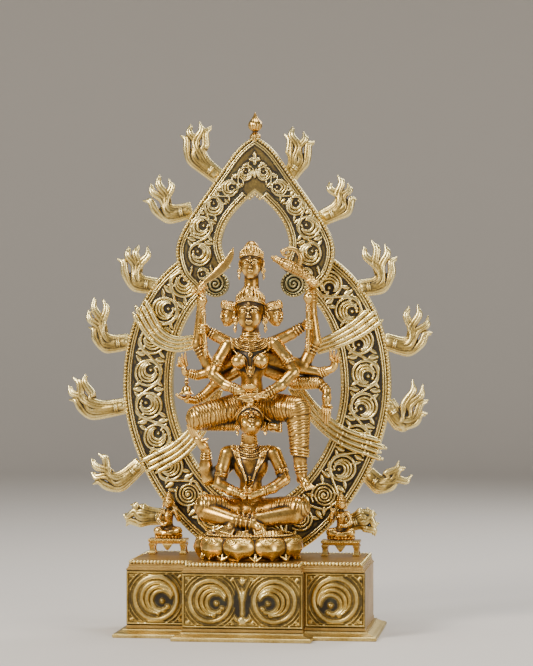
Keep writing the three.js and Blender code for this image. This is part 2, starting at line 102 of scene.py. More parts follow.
class Clay:
    """A block of distances on a regular grid, negative inside the modelled shape."""

    def __init__(self, low, high, step):
        self.step = step
        self.low = np.array(low, float) - 3 * step
        count = np.ceil((np.array(high, float) + 3 * step - self.low) / step).astype(int) + 1
        self.field = np.full(count, FAR, np.float32)

    def window(self, low, high):
        a = np.maximum(np.floor((low - self.low) / self.step).astype(int), 0)
        b = np.minimum(np.ceil((high - self.low) / self.step).astype(int) + 1, self.field.shape)
        if (b <= a).any():
            return None, None
        axes = [(self.low[k] + self.step * np.arange(a[k], b[k])).astype(np.float32) for k in range(3)]
        grid = (axes[0][:, None, None], axes[1][None, :, None], axes[2][None, None, :])
        return tuple(slice(a[k], b[k]) for k in range(3)), grid

    def shape(self, low, high, distance, blend=0.0, carve=False):
        reach = 2.5 * self.step + blend
        where, grid = self.window(np.asarray(low) - reach, np.asarray(high) + reach)
        if where is None:
            return
        near = distance(*grid)
        if carve:
            self.field[where] = -soft_min(-self.field[where], near, blend)
        else:
            self.field[where] = soft_min(self.field[where], near, blend)

    def limb(self, a, b, ra, rb, blend=0.0, bumps=None):
        """A round-ended limb; bumps(t, x, y, z) adds to its radius, t running from 0 at a to 1 at b."""
        a, b = np.array(a[:3], np.float32), np.array(b[:3], np.float32)
        ab = b - a
        square = max(1e-6, float(ab @ ab))
        reach = max(ra, rb) + (1.5 if bumps else 0)

        def distance(x, y, z):
            px, py, pz = x - a[0], y - a[1], z - a[2]
            t = np.clip((px * ab[0] + py * ab[1] + pz * ab[2]) / square, 0, 1)
            away = np.sqrt((px - t * ab[0]) ** 2 + (py - t * ab[1]) ** 2 + (pz - t * ab[2]) ** 2)
            radius = ra + (rb - ra) * t
            if bumps:
                radius = radius + bumps(t, px, py, pz)
            return away - radius

        self.shape(np.minimum(a, b) - reach, np.maximum(a, b) + reach, distance, blend)

    def chain(self, stations, blend=0.0):
        """Limbs through (x, y, z, radius) stations."""
        for a, b in zip(stations[:-1], stations[1:]):
            self.limb(a, b, a[3], b[3], blend)

    def cord(self, stations, blend=0.0, per_span=6):
        """A smooth round cord through (x, y, z, radius) stations."""
        self.chain(smooth_path(stations, per_span), blend)

    def ball(self, centre, radii, blend=0.0, turn=None, carve=False):
        """An ellipsoid; turn's columns are its axes."""
        c = np.asarray(centre, float)
        r = np.asarray(radii, float)
        reach = np.full(3, r.max()) if turn is not None else r

        def distance(x, y, z):
            p = [x - c[0], y - c[1], z - c[2]]
            if turn is not None:
                p = [sum(p[j] * float(turn[j][k]) for j in range(3)) for k in range(3)]
            inner = np.sqrt(sum((p[k] / r[k]) ** 2 for k in range(3)))
            slope = np.sqrt(sum((p[k] / r[k] ** 2) ** 2 for k in range(3)))
            return inner * (inner - 1) / np.maximum(slope, 1e-4)

        self.shape(c - reach, c + reach, distance, blend, carve)

    def hoop(self, centre, normal, radius, tube, blend=0.0):
        """A torus about the normal."""
        c, n = np.asarray(centre, float), unit(normal)
        reach = radius + tube

        def distance(x, y, z):
            p = (x - c[0], y - c[1], z - c[2])
            up = p[0] * n[0] + p[1] * n[1] + p[2] * n[2]
            flat = np.sqrt(np.maximum(p[0] ** 2 + p[1] ** 2 + p[2] ** 2 - up ** 2, 0))
            return np.sqrt((flat - radius) ** 2 + up ** 2) - tube

        self.shape(c - reach, c + reach, distance, blend)

    def trim(self, distance):
        """Keeps only what lies where the distance is negative."""
        x, y, z = (self.low[k] + self.step * np.arange(n) for k, n in enumerate(self.field.shape))
        away = distance(x[:, None, None], y[None, :, None], z[None, None, :])
        self.field = np.maximum(self.field, away).astype(np.float32)

    def front(self, x, z):
        """The y of the foremost surface at (x, z)."""
        i, k = (x - self.low[0]) / self.step, (z - self.low[2]) / self.step
        i = min(max(i, 0), self.field.shape[0] - 1.01)
        k = min(max(k, 0), self.field.shape[2] - 1.01)
        i0, k0 = int(i), int(k)
        near = self.field[i0:i0 + 2, :, k0] * [[1 - i + i0], [i - i0]]
        far = self.field[i0:i0 + 2, :, k0 + 1] * [[1 - i + i0], [i - i0]]
        column = near.sum(axis=0) * (1 - k + k0) + far.sum(axis=0) * (k - k0)
        j = int(np.argmax(column < 0))
        if column[j] >= 0:
            return None
        if j:
            j = j - float(column[j] / (column[j] - column[j - 1]))
        return self.low[1] + self.step * j

    def lay(self, points, radius, blend=0.0, bead=None):
        """A cord or a row of beads laid on the front surface along (x, z) points."""
        farthest_step = 40
        path = evenly(smooth_path(points), bead or max(0.8, radius))
        raised = []
        last = None
        for x, z in path[:, :2]:
            y = self.front(x, z)
            if y is None or (last is not None and abs(y - last) > farthest_step):
                continue
            last = y
            raised.append((x, y, z, radius))
        if len(raised) > 4:
            ys = np.array([spot[1] for spot in raised])
            soft = np.convolve(np.pad(ys, 2, mode="edge"), np.ones(5) / 5, "valid")
            raised = [(x, min(y, float(level) + 0.5), z, r) for (x, y, z, r), level in zip(raised, soft)]
        if bead:
            for x, y, z, r in raised:
                self.ball((x, y, z), (r, r, r))
        else:
            for a, b in zip(raised[:-1], raised[1:]):
                if np.linalg.norm(vec(*a[:3]) - vec(*b[:3])) < 6:
                    self.limb(a, b, radius, radius, blend)

    def crowding(self, points, reach):
        """The share of clay in a box round each point: about 0.5 on a flat face, more in a hollow."""
        share = (self.field < 0).astype(np.float32)
        n = max(1, int(reach / self.step))
        for axis in range(3):
            rows = np.moveaxis(share, axis, 0)
            total = np.cumsum(np.pad(rows, ((n + 1, n), (0, 0), (0, 0)), mode="edge"), axis=0)
            rows = (total[2 * n + 1:] - total[:len(rows)]) / (2 * n + 1)
            share = np.moveaxis(rows, 0, axis)
        spot = np.rint((points - self.low) / self.step).astype(int)
        spot = np.clip(spot, 0, np.array(share.shape) - 1)
        return share[spot[:, 0], spot[:, 1], spot[:, 2]]

    def wear_and_shade(self, points, quads, rounds, scale):
        """Fine rubbing on ridges and patina in grooves, plus painted shade over a wider scale: darker in the
        hollows where ambient light is blocked, lighter on open bulges.
        """
        # painted shade: the share of clay round each point darkens hollows and lightens open bulges, as
        # ambient occlusion would
        hollow_shade = np.clip((0.45 - self.crowding(points, 5.0)) * 4.5, -1, 0.5)
        return np.clip(0.62 * wear_of(points, quads, rounds, scale) + 1.0 * hollow_shade, -1, 1)

    def skin(self):
        grid = openvdb.FloatGrid(FAR)
        grid.copyFromArray(np.ascontiguousarray(self.field))
        points, quads = grid.convertToQuads(isovalue=0.0)
        return points * self.step + self.low, quads.astype(np.int64)


# ---- Meshes -------------------------------------------------------------------------------------

def mesh_volume(points, quads):
    a, b, c, d = (points[quads[:, k]] for k in range(4))
    return float(np.einsum("ij,ij->i", a, np.cross(b, c) + np.cross(c, d)).sum())


CRUMB = 60                                 # quads; a loose part with fewer is dropped


def largest_parts(points, quads):
    """Drops loose crumbs from a skinned mesh."""
    label = np.arange(len(points))
    edges = np.concatenate([quads[:, [0, 1]], quads[:, [1, 2]], quads[:, [2, 3]]])
    while True:
        low = np.minimum(label[edges[:, 0]], label[edges[:, 1]])
        new = label.copy()
        np.minimum.at(new, edges[:, 0], low)
        np.minimum.at(new, edges[:, 1], low)
        new = new[new]
        if (new == label).all():
            break
        label = new
    names, counts = np.unique(label[quads[:, 0]], return_counts=True)
    small = set(names[counts < CRUMB])
    if not small:
        return points, quads
    keep = ~np.isin(label[quads[:, 0]], list(small))
    quads = quads[keep]
    used = np.unique(quads)
    renumber = np.zeros(len(points), np.int64)
    renumber[used] = np.arange(len(used))
    return points[used], renumber[quads]


def wear_of(points, quads, rounds, scale):
    """How far each vertex stands out of (+) or lies under (-) its smoothed neighbourhood."""
    a = np.concatenate([quads[:, k] for k in (0, 1, 2, 3)])
    b = np.concatenate([quads[:, k] for k in (1, 2, 3, 0)])
    a, b = np.concatenate([a, b]), np.concatenate([b, a])
    n = len(points)
    count = np.maximum(np.bincount(a, minlength=n), 1)
    soft = points.copy()
    for _ in range(rounds):
        soft = np.column_stack([np.bincount(a, soft[b, k], n) / count for k in range(3)])
    cross = np.cross(points[quads[:, 2]] - points[quads[:, 0]], points[quads[:, 3]] - points[quads[:, 1]])
    normal = np.zeros((n, 3))
    for k in range(3):
        normal[:, k] = sum(np.bincount(quads[:, corner], cross[:, k], n) for corner in range(4))
    normal /= np.maximum(np.linalg.norm(normal, axis=1), 1e-9)[:, None]
    stand = ((points - soft) * normal).sum(axis=1)
    return np.clip(stand / scale, -1, 1)


def piece(name, points, quads, finish, wear_and_shade, caps=(), node=None):
    """Makes a Blender object from millimetre points; it stands for `node`, or its own namesake."""
    slot, material = finish
    points = np.asarray(points, float)
    quads = np.asarray(quads, np.int64)
    if mesh_volume(points, quads) < 0:
        quads = quads[:, ::-1]
        caps = [cap[::-1] for cap in caps]
    sizes = np.array([4] * len(quads) + [len(cap) for cap in caps])
    corners = np.concatenate([quads.ravel(), *caps])
    mesh = bpy.data.meshes.new(name)
    mesh.vertices.add(len(points))
    mesh.vertices.foreach_set("co", (points * MM).astype(np.float32).ravel())
    mesh.loops.add(len(corners))
    mesh.loops.foreach_set("vertex_index", corners.astype(np.int32))
    mesh.polygons.add(len(sizes))
    starts = np.concatenate([[0], np.cumsum(sizes)[:-1]])
    mesh.polygons.foreach_set("loop_start", starts.astype(np.int32))
    mesh.polygons.foreach_set("use_smooth", np.full(len(sizes), True))
    mesh.update(calc_edges=True)
    mesh.validate()
    # per-vertex level for the material: rubbing and patina, and for clay pieces also painted shade in hollows
    layer = mesh.attributes.new("wear_and_shade", "FLOAT", "POINT")
    layer.data.foreach_set("value", wear_and_shade.astype(np.float32))
    mesh.materials.append(material)
    obj = bpy.data.objects.new(name, mesh)
    bpy.context.scene.collection.objects.link(obj)
    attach(obj, "root")
    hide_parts(node or name)
    return obj


def fired(clay, name, finish, rounds=14, scale=0.35, node=None):
    """The clay's skin as a finished piece, with its rubbing, patina and painted shade in hollows worked out.
    """
    points, quads = largest_parts(*clay.skin())
    piece(name, points, quads, finish, clay.wear_and_shade(points, quads, rounds, scale), node=node)


def loft(name, sections, finish, closed=False, rounds=10, scale=0.3, tone=None):
    """Skins closed sections, an array (stations, loop, 3); open runs get a cap at each end."""
    sections = np.asarray(sections, float)
    stations, loop, _ = sections.shape
    index = np.arange(stations * loop).reshape(stations, loop)
    ahead = np.roll(index, -1, axis=1)
    if closed:
        corners = index, ahead, np.roll(ahead, -1, axis=0), np.roll(index, -1, axis=0)
        caps = ()
    else:
        corners = index[:-1], ahead[:-1], ahead[1:], index[1:]
        caps = [index[0][::-1], index[-1]]
    quads = np.stack(corners, axis=-1).reshape(-1, 4)
    points = sections.reshape(-1, 3)
    wear_and_shade = wear_of(points, quads, rounds, scale)
    if tone is not None:
        wear_and_shade = np.clip(0.55 * wear_and_shade + tone.ravel(), -1, 1)
    piece(name, points, quads, finish, wear_and_shade, caps)


def bead_row(name, paths, radius, pitch, finish, stretch=1.0, node=None):
    """Rows of small rounded beads along millimetre paths; `stretch` lengthens them across the path."""
    around, down = 10, 6
    theta = np.linspace(0, 2 * math.pi, around, endpoint=False)
    belts = [(math.sin(math.pi * i / down), math.cos(math.pi * i / down)) for i in range(1, down)]
    ball = [(r * math.cos(t), r * math.sin(t), h) for r, h in belts for t in theta]
    ball = np.array([(0.0, 0.0, 1.0), *ball, (0.0, 0.0, -1.0)])
    last = len(ball) - 1
    index = np.arange(1, last).reshape(down - 1, around)
    beside = np.roll(index, -1, axis=1)
    quads = np.stack([index[:-1], index[1:], beside[1:], beside[:-1]], axis=-1).reshape(-1, 4)
    tips = np.array([(0, i, j) for i, j in zip(index[0], beside[0])]
                    + [(last, j, i) for i, j in zip(index[-1], beside[-1])])
    points, faces, caps = [], [], []
    for path in paths:
        path = evenly(path, pitch)
        for place, way in zip(path, np.gradient(path, axis=0)):
            way = unit(way)
            side = unit(np.cross(way, (0, 0, 1))) if abs(way[2]) < 0.9 else vec(1, 0, 0)
            basis = np.stack([way, np.cross(side, way) * stretch, side]) * radius
            base = len(ball) * len(points)
            points.append(ball @ basis + place)
            faces.append(quads + base)
            caps.append(tips + base)
    points = np.vstack(points)
    piece(name, points, np.vstack(faces), finish, np.full(len(points), 0.45), np.vstack(caps), node)


# ---- Relief -------------------------------------------------------------------------------------

class Relief:
    """Heights over an upright sheet (x across, z up), drawn with round-topped strokes."""

    def __init__(self, low, high, step):
        self.step = step
        self.low = np.array(low, float)
        count = np.ceil((np.array(high, float) - self.low) / step).astype(int) + 1
        self.x = self.low[0] + step * np.arange(count[0])
        self.z = self.low[1] + step * np.arange(count[1])
        self.height = np.zeros(count, np.float32)

    def stroke(self, path, width, height, power=0.5):
        """path holds (x, z) points; width is one number or one for each point."""
        path = np.asarray(path, float)[:, :2]
        widths = np.broadcast_to(np.asarray(width, float), (len(path),))
        for a, b, wa, wb in zip(path[:-1], path[1:], widths[:-1], widths[1:]):
            reach = max(wa, wb) / 2 + self.step
            i0, k0 = np.floor((np.minimum(a, b) - reach - self.low) / self.step).astype(int)
            i1, k1 = np.ceil((np.maximum(a, b) + reach - self.low) / self.step).astype(int) + 1
            i0, k0 = max(i0, 0), max(k0, 0)
            i1, k1 = min(i1, len(self.x)), min(k1, len(self.z))
            if i1 <= i0 or k1 <= k0:
                continue
            x, z = self.x[i0:i1, None] - a[0], self.z[None, k0:k1] - a[1]
            ab = b - a
            t = np.clip((x * ab[0] + z * ab[1]) / max(1e-9, ab @ ab), 0, 1)
            away = np.hypot(x - t * ab[0], z - t * ab[1])
            half = (wa + (wb - wa) * t) / 2
            rise = height * np.clip(1 - (away / np.maximum(half, 0.05)) ** 2, 0, 1) ** power
            part = self.height[i0:i1, k0:k1]
            np.maximum(part, rise, out=part)

    def dot(self, centre, radius, height):
        self.stroke([centre, (centre[0] + 0.01, centre[1])], 2 * radius, height)

    def sample(self, x, z):
        i = np.clip((x - self.low[0]) / self.step, 0, len(self.x) - 1.001)
        k = np.clip((z - self.low[1]) / self.step, 0, len(self.z) - 1.001)
        i0, k0 = i.astype(int), k.astype(int)
        fi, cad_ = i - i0, k - k0
        h = self.height
        return ((h[i0, k0] * (1 - fi) + h[i0 + 1, k0] * fi) * (1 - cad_)
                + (h[i0, k0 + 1] * (1 - fi) + h[i0 + 1, k0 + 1] * fi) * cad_)


def spiral(centre, outer, inner, start, turns, sense, count):
    """Points of a spiral from radius outer to inner; start in degrees, sense +1 anticlockwise."""
    s = np.linspace(0, 1, count)
    angle = math.radians(start) + sense * 2 * math.pi * turns * s
    radius = outer + (inner - outer) * s ** 0.85
    return np.column_stack([centre[0] + radius * np.cos(angle), centre[1] + radius * np.sin(angle)])


def scroll(relief, centre, radius, start, sense, height, nested=3):
    """A full ring round nested crescents whose knobbed ends fan out on the side that `start` faces."""
    rim = radius * 0.2
    circle = spiral(centre, radius - rim / 2, radius - rim / 2, start, 1.0, sense, 60)
    relief.stroke(circle, rim, height, power=0.35)
    toward = np.array([math.cos(math.radians(start)), math.sin(math.radians(start))])
    step = 0.72 / nested
    share = np.linspace(0, 1, 26)
    for k in range(nested):
        size = radius * (0.70 - 0.58 * step * k)
        middle = np.array(centre) + toward * radius * (0.06 + 0.42 * step * k)
        angle = np.radians(start + sense * (38 + (262 + 20 * k) * share))
        away = size * (1 - 0.13 * share ** 2)
        path = middle + np.column_stack([away * np.cos(angle), away * np.sin(angle)])
        wide = radius * min(0.32, step * 0.76)
        relief.stroke(path, wide * (0.3 + 0.7 * np.sin(math.pi * share ** 0.9) ** 0.7), height, power=0.4)
        relief.dot(path[-1], radius * 0.115, height * 1.05)
    relief.dot(np.array(centre) + toward * radius * 0.30, radius * 0.12, height)


def coil_roundel(relief, centre, radius, start, sense, height):
    """A large many-turned spiral with a knob at its heart."""
    path = spiral(centre, radius - 1, radius * 0.14, start, 3.3, sense, 130)
    relief.stroke(path, np.linspace(radius * 0.17, radius * 0.13, len(path)), height)
    relief.dot(centre, radius * 0.14, height)


def leaf(relief, root, tip, width, height, bend=0.0):
    """A small pointed leaf, one round-topped stroke along its length."""
    root, tip = np.array(root, float), np.array(tip, float)
    along = tip - root
    across = np.array([-along[1], along[0]])
    s = np.linspace(0, 1, 9)[:, None]
    path = root + along * s + across * bend * np.sin(math.pi * s)
    widths = width * np.sin(math.pi * (0.12 + 0.88 * (1 - s[:, 0]))) ** 0.8
    relief.stroke(path, np.maximum(widths, 0.3), height)


# ---- Materials ----------------------------------------------------------------------------------

def brass(name, dark, middle, bright, rough, green, bump=0.12, shift=0.0):
    """Aged brass: patina, and painted shade in hollows, where the vertex attribute is low; rubbed bright
    where it is high.
    """
    material = bpy.data.materials.new(name)
    material.use_nodes = True
    nodes, links = material.node_tree.nodes, material.node_tree.links
    shader = nodes["Principled BSDF"]

    def node(kind, **settings):
        made = nodes.new(kind)
        for key, value in settings.items():
            setattr(made, key, value)
        return made

    def noise(scale, detail=4.0, roughness=0.6):
        made = node("ShaderNodeTexNoise")
        made.inputs["Scale"].default_value = scale
        made.inputs["Detail"].default_value = detail
        made.inputs["Roughness"].default_value = roughness
        links.new(place.outputs["Object"], made.inputs["Vector"])
        return made.outputs["Fac"]

    def maths(operation, first, second, clamp=False):
        made = node("ShaderNodeMath", operation=operation, use_clamp=clamp)
        for socket, value in zip(made.inputs, (first, second)):
            if isinstance(value, (int, float)):
                socket.default_value = value
            else:
                links.new(value, socket)
        return made.outputs[0]

    place = node("ShaderNodeTexCoord")
    # the vertex attribute holds rubbing and patina together with painted shade in hollows
    worn_and_shaded = node("ShaderNodeAttribute", attribute_name="wear_and_shade").outputs["Fac"]
    patches = noise(38.0)
    speckle = noise(420.0, 3.0)
    stain = maths("MULTIPLY", maths("SUBTRACT", patches, 0.5), 0.55)
    fine = maths("MULTIPLY", maths("SUBTRACT", speckle, 0.5), 0.35)
    level = maths("ADD", maths("ADD", maths("MULTIPLY", worn_and_shaded, 0.5), 0.5 + shift), maths("ADD", stain, fine))

    ramp = node("ShaderNodeValToRGB")
    stops = ramp.color_ramp.elements
    stops[0].position, stops[0].color = 0.14, (*dark, 1)
    stops[1].position, stops[1].color = 0.86, (*bright, 1)
    low = stops.new(0.36)
    low.color = (*[0.35 * m + 0.65 * d for m, d in zip(middle, dark)], 1)
    centre = stops.new(0.52)
    centre.color = (*middle, 1)
    links.new(level, ramp.inputs["Fac"])
    colour = ramp.outputs["Color"]

    if green > 0:
        tint = node("ShaderNodeMix", data_type="RGBA", blend_type="MIX")
        tint.inputs["B"].default_value = (0.16, 0.22, 0.13, 1)
        amount = maths("MULTIPLY", maths("SUBTRACT", noise(75.0, 5.0), 0.52, True), 2.4 * green)
        recess = maths("SUBTRACT", 1.05, level, True)
        links.new(maths("MULTIPLY", amount, recess, True), tint.inputs["Factor"])
        links.new(colour, tint.inputs["A"])
        colour = tint.outputs["Result"]
    links.new(colour, shader.inputs["Base Color"])

    metal = maths("ADD", maths("MULTIPLY", level, 1.6), 0.22, True)
    links.new(metal, shader.inputs["Metallic"])
    dull, keen = rough
    spread = maths("MULTIPLY", level, keen - dull)
    grit = maths("MULTIPLY", maths("SUBTRACT", noise(160.0, 5.0), 0.5), 0.28)
    links.new(maths("ADD", maths("ADD", spread, dull), grit, True), shader.inputs["Roughness"])

    surface = node("ShaderNodeBump")
    surface.inputs["Strength"].default_value = bump
    surface.inputs["Distance"].default_value = 0.0006
    texture = maths("ADD", noise(700.0, 4.0, 0.65), maths("MULTIPLY", noise(130.0, 3.0), 1.4))
    links.new(texture, surface.inputs["Height"])
    links.new(surface.outputs["Normal"], shader.inputs["Normal"])
    return material


# Each finish is a slot of the record and the material that shows it.
RELIEF = "relief_brass", brass("relief brass", (0.020, 0.014, 0.007), (0.50, 0.34, 0.095), (0.96, 0.79, 0.35),
                               rough=(0.6, 0.22), green=0.4)
FIGURE = "figure_brass", brass("figure brass", (0.020, 0.012, 0.004), (0.44, 0.228, 0.046),
                               (0.92, 0.61, 0.19), rough=(0.5, 0.17), green=0.25, bump=0.10, shift=0.02)
SEAT = "seat_brass", brass("seat brass", (0.03, 0.016, 0.005), (0.52, 0.29, 0.06), (0.90, 0.63, 0.2),
                           rough=(0.48, 0.2), green=0.1, bump=0.08, shift=0.08)
DARK = "dark_brass", brass("dark brass", (0.05, 0.028, 0.01), (0.36, 0.21, 0.06), (0.66, 0.44, 0.14),
                           rough=(0.5, 0.3), green=0.3, shift=0.02)
AGED = "aged_brass", brass("aged brass", (0.012, 0.012, 0.008), (0.22, 0.19, 0.08), (0.6, 0.52, 0.26),
                           rough=(0.6, 0.35), green=1.0, shift=-0.04)
BENCH = "figure_brass", SEAT[1]
BUD = "relief_brass", FIGURE[1]


def steel(name):
    material = bpy.data.materials.new(name)
    material.use_nodes = True
    nodes, links = material.node_tree.nodes, material.node_tree.links
    shader = nodes["Principled BSDF"]
    shader.inputs["Metallic"].default_value = 1.0
    place = nodes.new("ShaderNodeTexCoord")
    noise = nodes.new("ShaderNodeTexNoise")
    noise.inputs["Scale"].default_value = 300.0
    links.new(place.outputs["Object"], noise.inputs["Vector"])
    ramp = nodes.new("ShaderNodeValToRGB")
    ramp.color_ramp.elements[0].color = (0.22, 0.21, 0.19, 1)
    ramp.color_ramp.elements[1].color = (0.62, 0.61, 0.58, 1)
    links.new(noise.outputs["Fac"], ramp.inputs["Fac"])
    links.new(ramp.outputs["Color"], shader.inputs["Base Color"])
    spread = nodes.new("ShaderNodeMath")
    spread.operation = "MULTIPLY_ADD"
    spread.inputs[1].default_value = 0.3
    spread.inputs[2].default_value = 0.25
    links.new(noise.outputs["Fac"], spread.inputs[0])
    links.new(spread.outputs[0], shader.inputs["Roughness"])
    return material


# ---- Camera, light and floor --------------------------------------------------------------------

CAMERA_ANGLE = math.radians(7.2)            # to the object's right of straight ahead
CAMERA_FAR, CAMERA_HEIGHT = 2.9, 0.351
CAMERA_ASIDE = 0.0182                       # the object stands a little left of the frame's middle


def aim(obj, target):
    way = Vector(target) - obj.location
    obj.rotation_euler = way.to_track_quat("-Z", "Y").to_euler()


def stage():
    data = bpy.data.cameras.new("camera")
    data.lens, data.sensor_width = 133.75, 36.0
    data.clip_start, data.clip_end = 0.1, 30.0
    camera = bpy.data.objects.new("camera", data)
    s, c = math.sin(CAMERA_ANGLE), math.cos(CAMERA_ANGLE)
    camera.location = (CAMERA_FAR * s, -CAMERA_FAR * c, CAMERA_HEIGHT)
    aim(camera, (CAMERA_ASIDE * c, CAMERA_ASIDE * s, CAMERA_HEIGHT))
    bpy.context.scene.collection.objects.link(camera)
    bpy.context.scene.camera = camera

    def lamp(name, place, size, power, colour=(1, 1, 1)):
        light = bpy.data.lights.new(name, "AREA")
        light.shape, light.size, light.size_y = "RECTANGLE", size[0], size[1]
        light.energy, light.color = power, colour
        obj = bpy.data.objects.new(name, light)
        obj.location = place
        aim(obj, (0, 0, 0.3))
        bpy.context.scene.collection.objects.link(obj)

    lamp("key", (-1.5, -1.9, 1.7), (0.8, 0.8), 84, (1, 0.96, 0.89))
    lamp("fill", (1.9, -1.5, 0.9), (1.0, 1.2), 27, (1, 0.95, 0.88))
    lamp("top", (0.1, 0.1, 2.3), (1.2, 1.0), 34)
    lamp("rim", (0.9, 1.6, 1.5), (0.9, 0.9), 22)

    world = bpy.data.worlds.new("studio")
    world.use_nodes = True
    back = world.node_tree.nodes["Background"]
    back.inputs["Color"].default_value = (0.78, 0.76, 0.73, 1)
    back.inputs["Strength"].default_value = 0.27
    bpy.context.scene.world = world

    mesh = bpy.data.meshes.new("floor")
    flat, curve, high, around = 3.3, 1.1, 1.9, 72
    bend = np.linspace(0, math.pi / 2, 13)
    profile = [(0.4, 0.0), (1.5, 0.0)]
    profile += [(flat + curve * math.sin(a), curve - curve * math.cos(a)) for a in bend]
    profile += [(flat + curve, high)]
    verts = [(r * math.cos(t), r * math.sin(t), z) for r, z in profile
             for t in np.linspace(0, 2 * math.pi, around, endpoint=False)]
    faces = [tuple(range(around))]
    for level in range(len(profile) - 1):
        for i in range(around):
            j = (i + 1) % around
            a, b = level * around, (level + 1) * around
            faces.append((a + i, b + i, b + j, a + j))
    mesh.from_pydata(verts, [], faces)
    mesh.polygons.foreach_set("use_smooth", [True] * len(faces))
    floor = bpy.data.objects.new("floor", mesh)
    material = bpy.data.materials.new("floor")
    material.use_nodes = True
    shader = material.node_tree.nodes["Principled BSDF"]
    shader.inputs["Base Color"].default_value = (0.62, 0.58, 0.53, 1)
    shader.inputs["Roughness"].default_value = 0.75
    mesh.materials.append(material)
    bpy.context.scene.collection.objects.link(floor)


# ---- Plinth -------------------------------------------------------------------------------------

WALL = {"half": 138.5, "wing": -56.0, "bay": 69.5, "front": -82.0, "rear": 80.0}
FOOT = {"half": 152.5, "wing": -70.0, "bay": 80.5, "front": -96.0, "rear": 96.0}
DECK_TOP = 88.0
RAIL_BEAD = {"radius": 2.15, "pitch": 4.02}
PANEL_LOW, PANEL_HIGH, PANEL_DEEP = 14.0, 76.0, 3.0


def plan(size, side, front, z):
    """The stepped outline at height z: sides and rear inset by `side`, fronts by `front`."""
    half, bay, rear = size["half"] - side, size["bay"] - side, size["rear"] - side
    wing, nose = size["wing"] + front, size["front"] + front
    outline = [(-half, wing), (-bay, wing), (-bay, nose), (bay, nose), (bay, wing), (half, wing),
               (half, rear), (-half, rear)]
    return [(x, y, z) for x, y in outline]


def softened(obj, width):
    """Adds a small bevel along the sharp edges and keeps flat faces flat."""
    bevel = obj.modifiers.new("bevel", "BEVEL")
    bevel.width, bevel.segments = width * MM, 2
    bevel.limit_method, bevel.angle_limit = "ANGLE", math.radians(28)
    bevel.harden_normals = True


def ring_stack(name, outlines, finish, bevel, top=False, node=None):
    """Joins level outlines of equal length into a closed wall, looped or capped on top."""
    points = np.array([p for outline in outlines for p in outline], float)
    size, levels = len(outlines[0]), len(outlines)
    quads = []
    for level in range(levels if not top else levels - 1):
        above = (level + 1) % levels
        for i in range(size):
            j = (i + 1) % size
            quads.append((level * size + i, level * size + j, above * size + j, above * size + i))
    caps = []
    if top:
        caps = [list(range(size))[::-1], [(levels - 1) * size + i for i in range(size)]]
    obj = piece(name, points, quads, finish, np.full(len(points), 0.25), caps, node)
    softened(obj, bevel)


def plinth():
    wall = 5.0
    outer = [(0.0, 0.0, 9.9), (0.0, 0.0, PANEL_LOW - 0.8), (0.7, PANEL_DEEP, PANEL_LOW - 0.3),
             (0.7, PANEL_DEEP, PANEL_HIGH + 0.3), (0.0, 0.0, PANEL_HIGH + 0.8), (0.0, 0.0, 78.6),
             (1.5, 1.5, 79.0), (1.5, 1.5, 80.8), (2.4, 2.4, 81.2), (2.4, 2.4, 83.6), (6.6, 6.6, 83.9),
             (6.9, 6.9, DECK_TOP)]
    outlines = [plan(WALL, side, front, z) for side, front, z in outer]
    outlines.append(plan(WALL, 40.0, 30.0, DECK_TOP))
    outlines.append(plan(WALL, 40.0, 30.0, DECK_TOP - wall))
    inner = [(12.0, 12.0, DECK_TOP - wall), (12.0, 12.0, 76.0), (wall, wall + 1, 74.0), (wall, wall + 1, 9.9)]
    outlines += [plan(WALL, side, front, z) for side, front, z in inner]
    ring_stack("plinth_shell", outlines, DARK, 0.35)
    deck = [plan(WALL, 39.0, 29.0, DECK_TOP - wall), plan(WALL, 39.0, 29.0, DECK_TOP - 0.01)]
    ring_stack("deck_plate", deck, DARK, 0.2, True, "plinth_shell")

    edge = [(0.9, 0.9, 0.0), (0.0, 0.0, 0.9), (0.0, 0.0, 3.0), (0.5, 0.5, 3.9), (1.5, 1.5, 4.6),
            (5.5, 5.5, 6.0), (9.0, 9.0, 7.6), (10.2, 10.2, 8.2), (10.5, 10.5, 9.4)]
    foot = [plan(FOOT, side, front, z) for side, front, z in edge]
    foot += [plan(WALL, wall, wall, 9.4), plan(WALL, wall, wall, 0.0)]
    ring_stack("foot_moulding", foot, RELIEF, 0.3)

    path = np.array(plan(WALL, 4.5, 4.5, 85.9) + plan(WALL, 4.5, 4.5, 85.9)[:1])
    sides = [np.array([a, b]) for a, b in zip(path[:-1], path[1:])]
    bead_row("bead_rail", sides, RAIL_BEAD["radius"], RAIL_BEAD["pitch"], RELIEF, stretch=1.25)


def panel_sheet(name, low, high, front, draw):
    """A relief panel with a plain frame, standing in front of the wall from x = low to high."""
    border, step = 2.6, 0.45
    relief = Relief((low, PANEL_LOW), (high, PANEL_HIGH), step)
    draw(relief)
    x = np.arange(low, high + step / 2, step)
    z = np.arange(PANEL_LOW, PANEL_HIGH + step / 2, step)
    x[-1], z[-1] = high, PANEL_HIGH
    gx, gz = np.meshgrid(x, z, indexing="ij")
    inset = np.minimum(np.minimum(gx - low, high - gx), np.minimum(gz - PANEL_LOW, PANEL_HIGH - gz))
    frame_line = 2.5 * np.clip(1 - ((inset - border / 2) / (border / 2)) ** 2, 0, 1) ** 0.4
    inner_line = 1.5 * np.clip(1 - ((inset - border - 1.3) / 0.7) ** 2, 0, 1) ** 0.5
    rise = np.maximum(np.maximum(relief.sample(gx, gz), frame_line * (inset < border)), inner_line)
    tone = -0.85 + 1.38 * np.clip(rise / 2.0, 0, 1)
    tone = np.pad(tone, ((0, 0), (1, 1)), constant_values=0.1)
    y = front + PANEL_DEEP - 0.35 - rise
    back = front + PANEL_DEEP + 0.9
    rows = np.stack([gx, y, gz], axis=-1)
    lower = np.stack([x, np.full(len(x), back), np.full(len(x), PANEL_LOW)], axis=-1)
    upper = np.stack([x, np.full(len(x), back), np.full(len(x), PANEL_HIGH)], axis=-1)
    sections = np.concatenate([lower[:, None], rows, upper[:, None]], axis=1)
    loft(name, sections, RELIEF, rounds=12, scale=0.42, tone=tone)


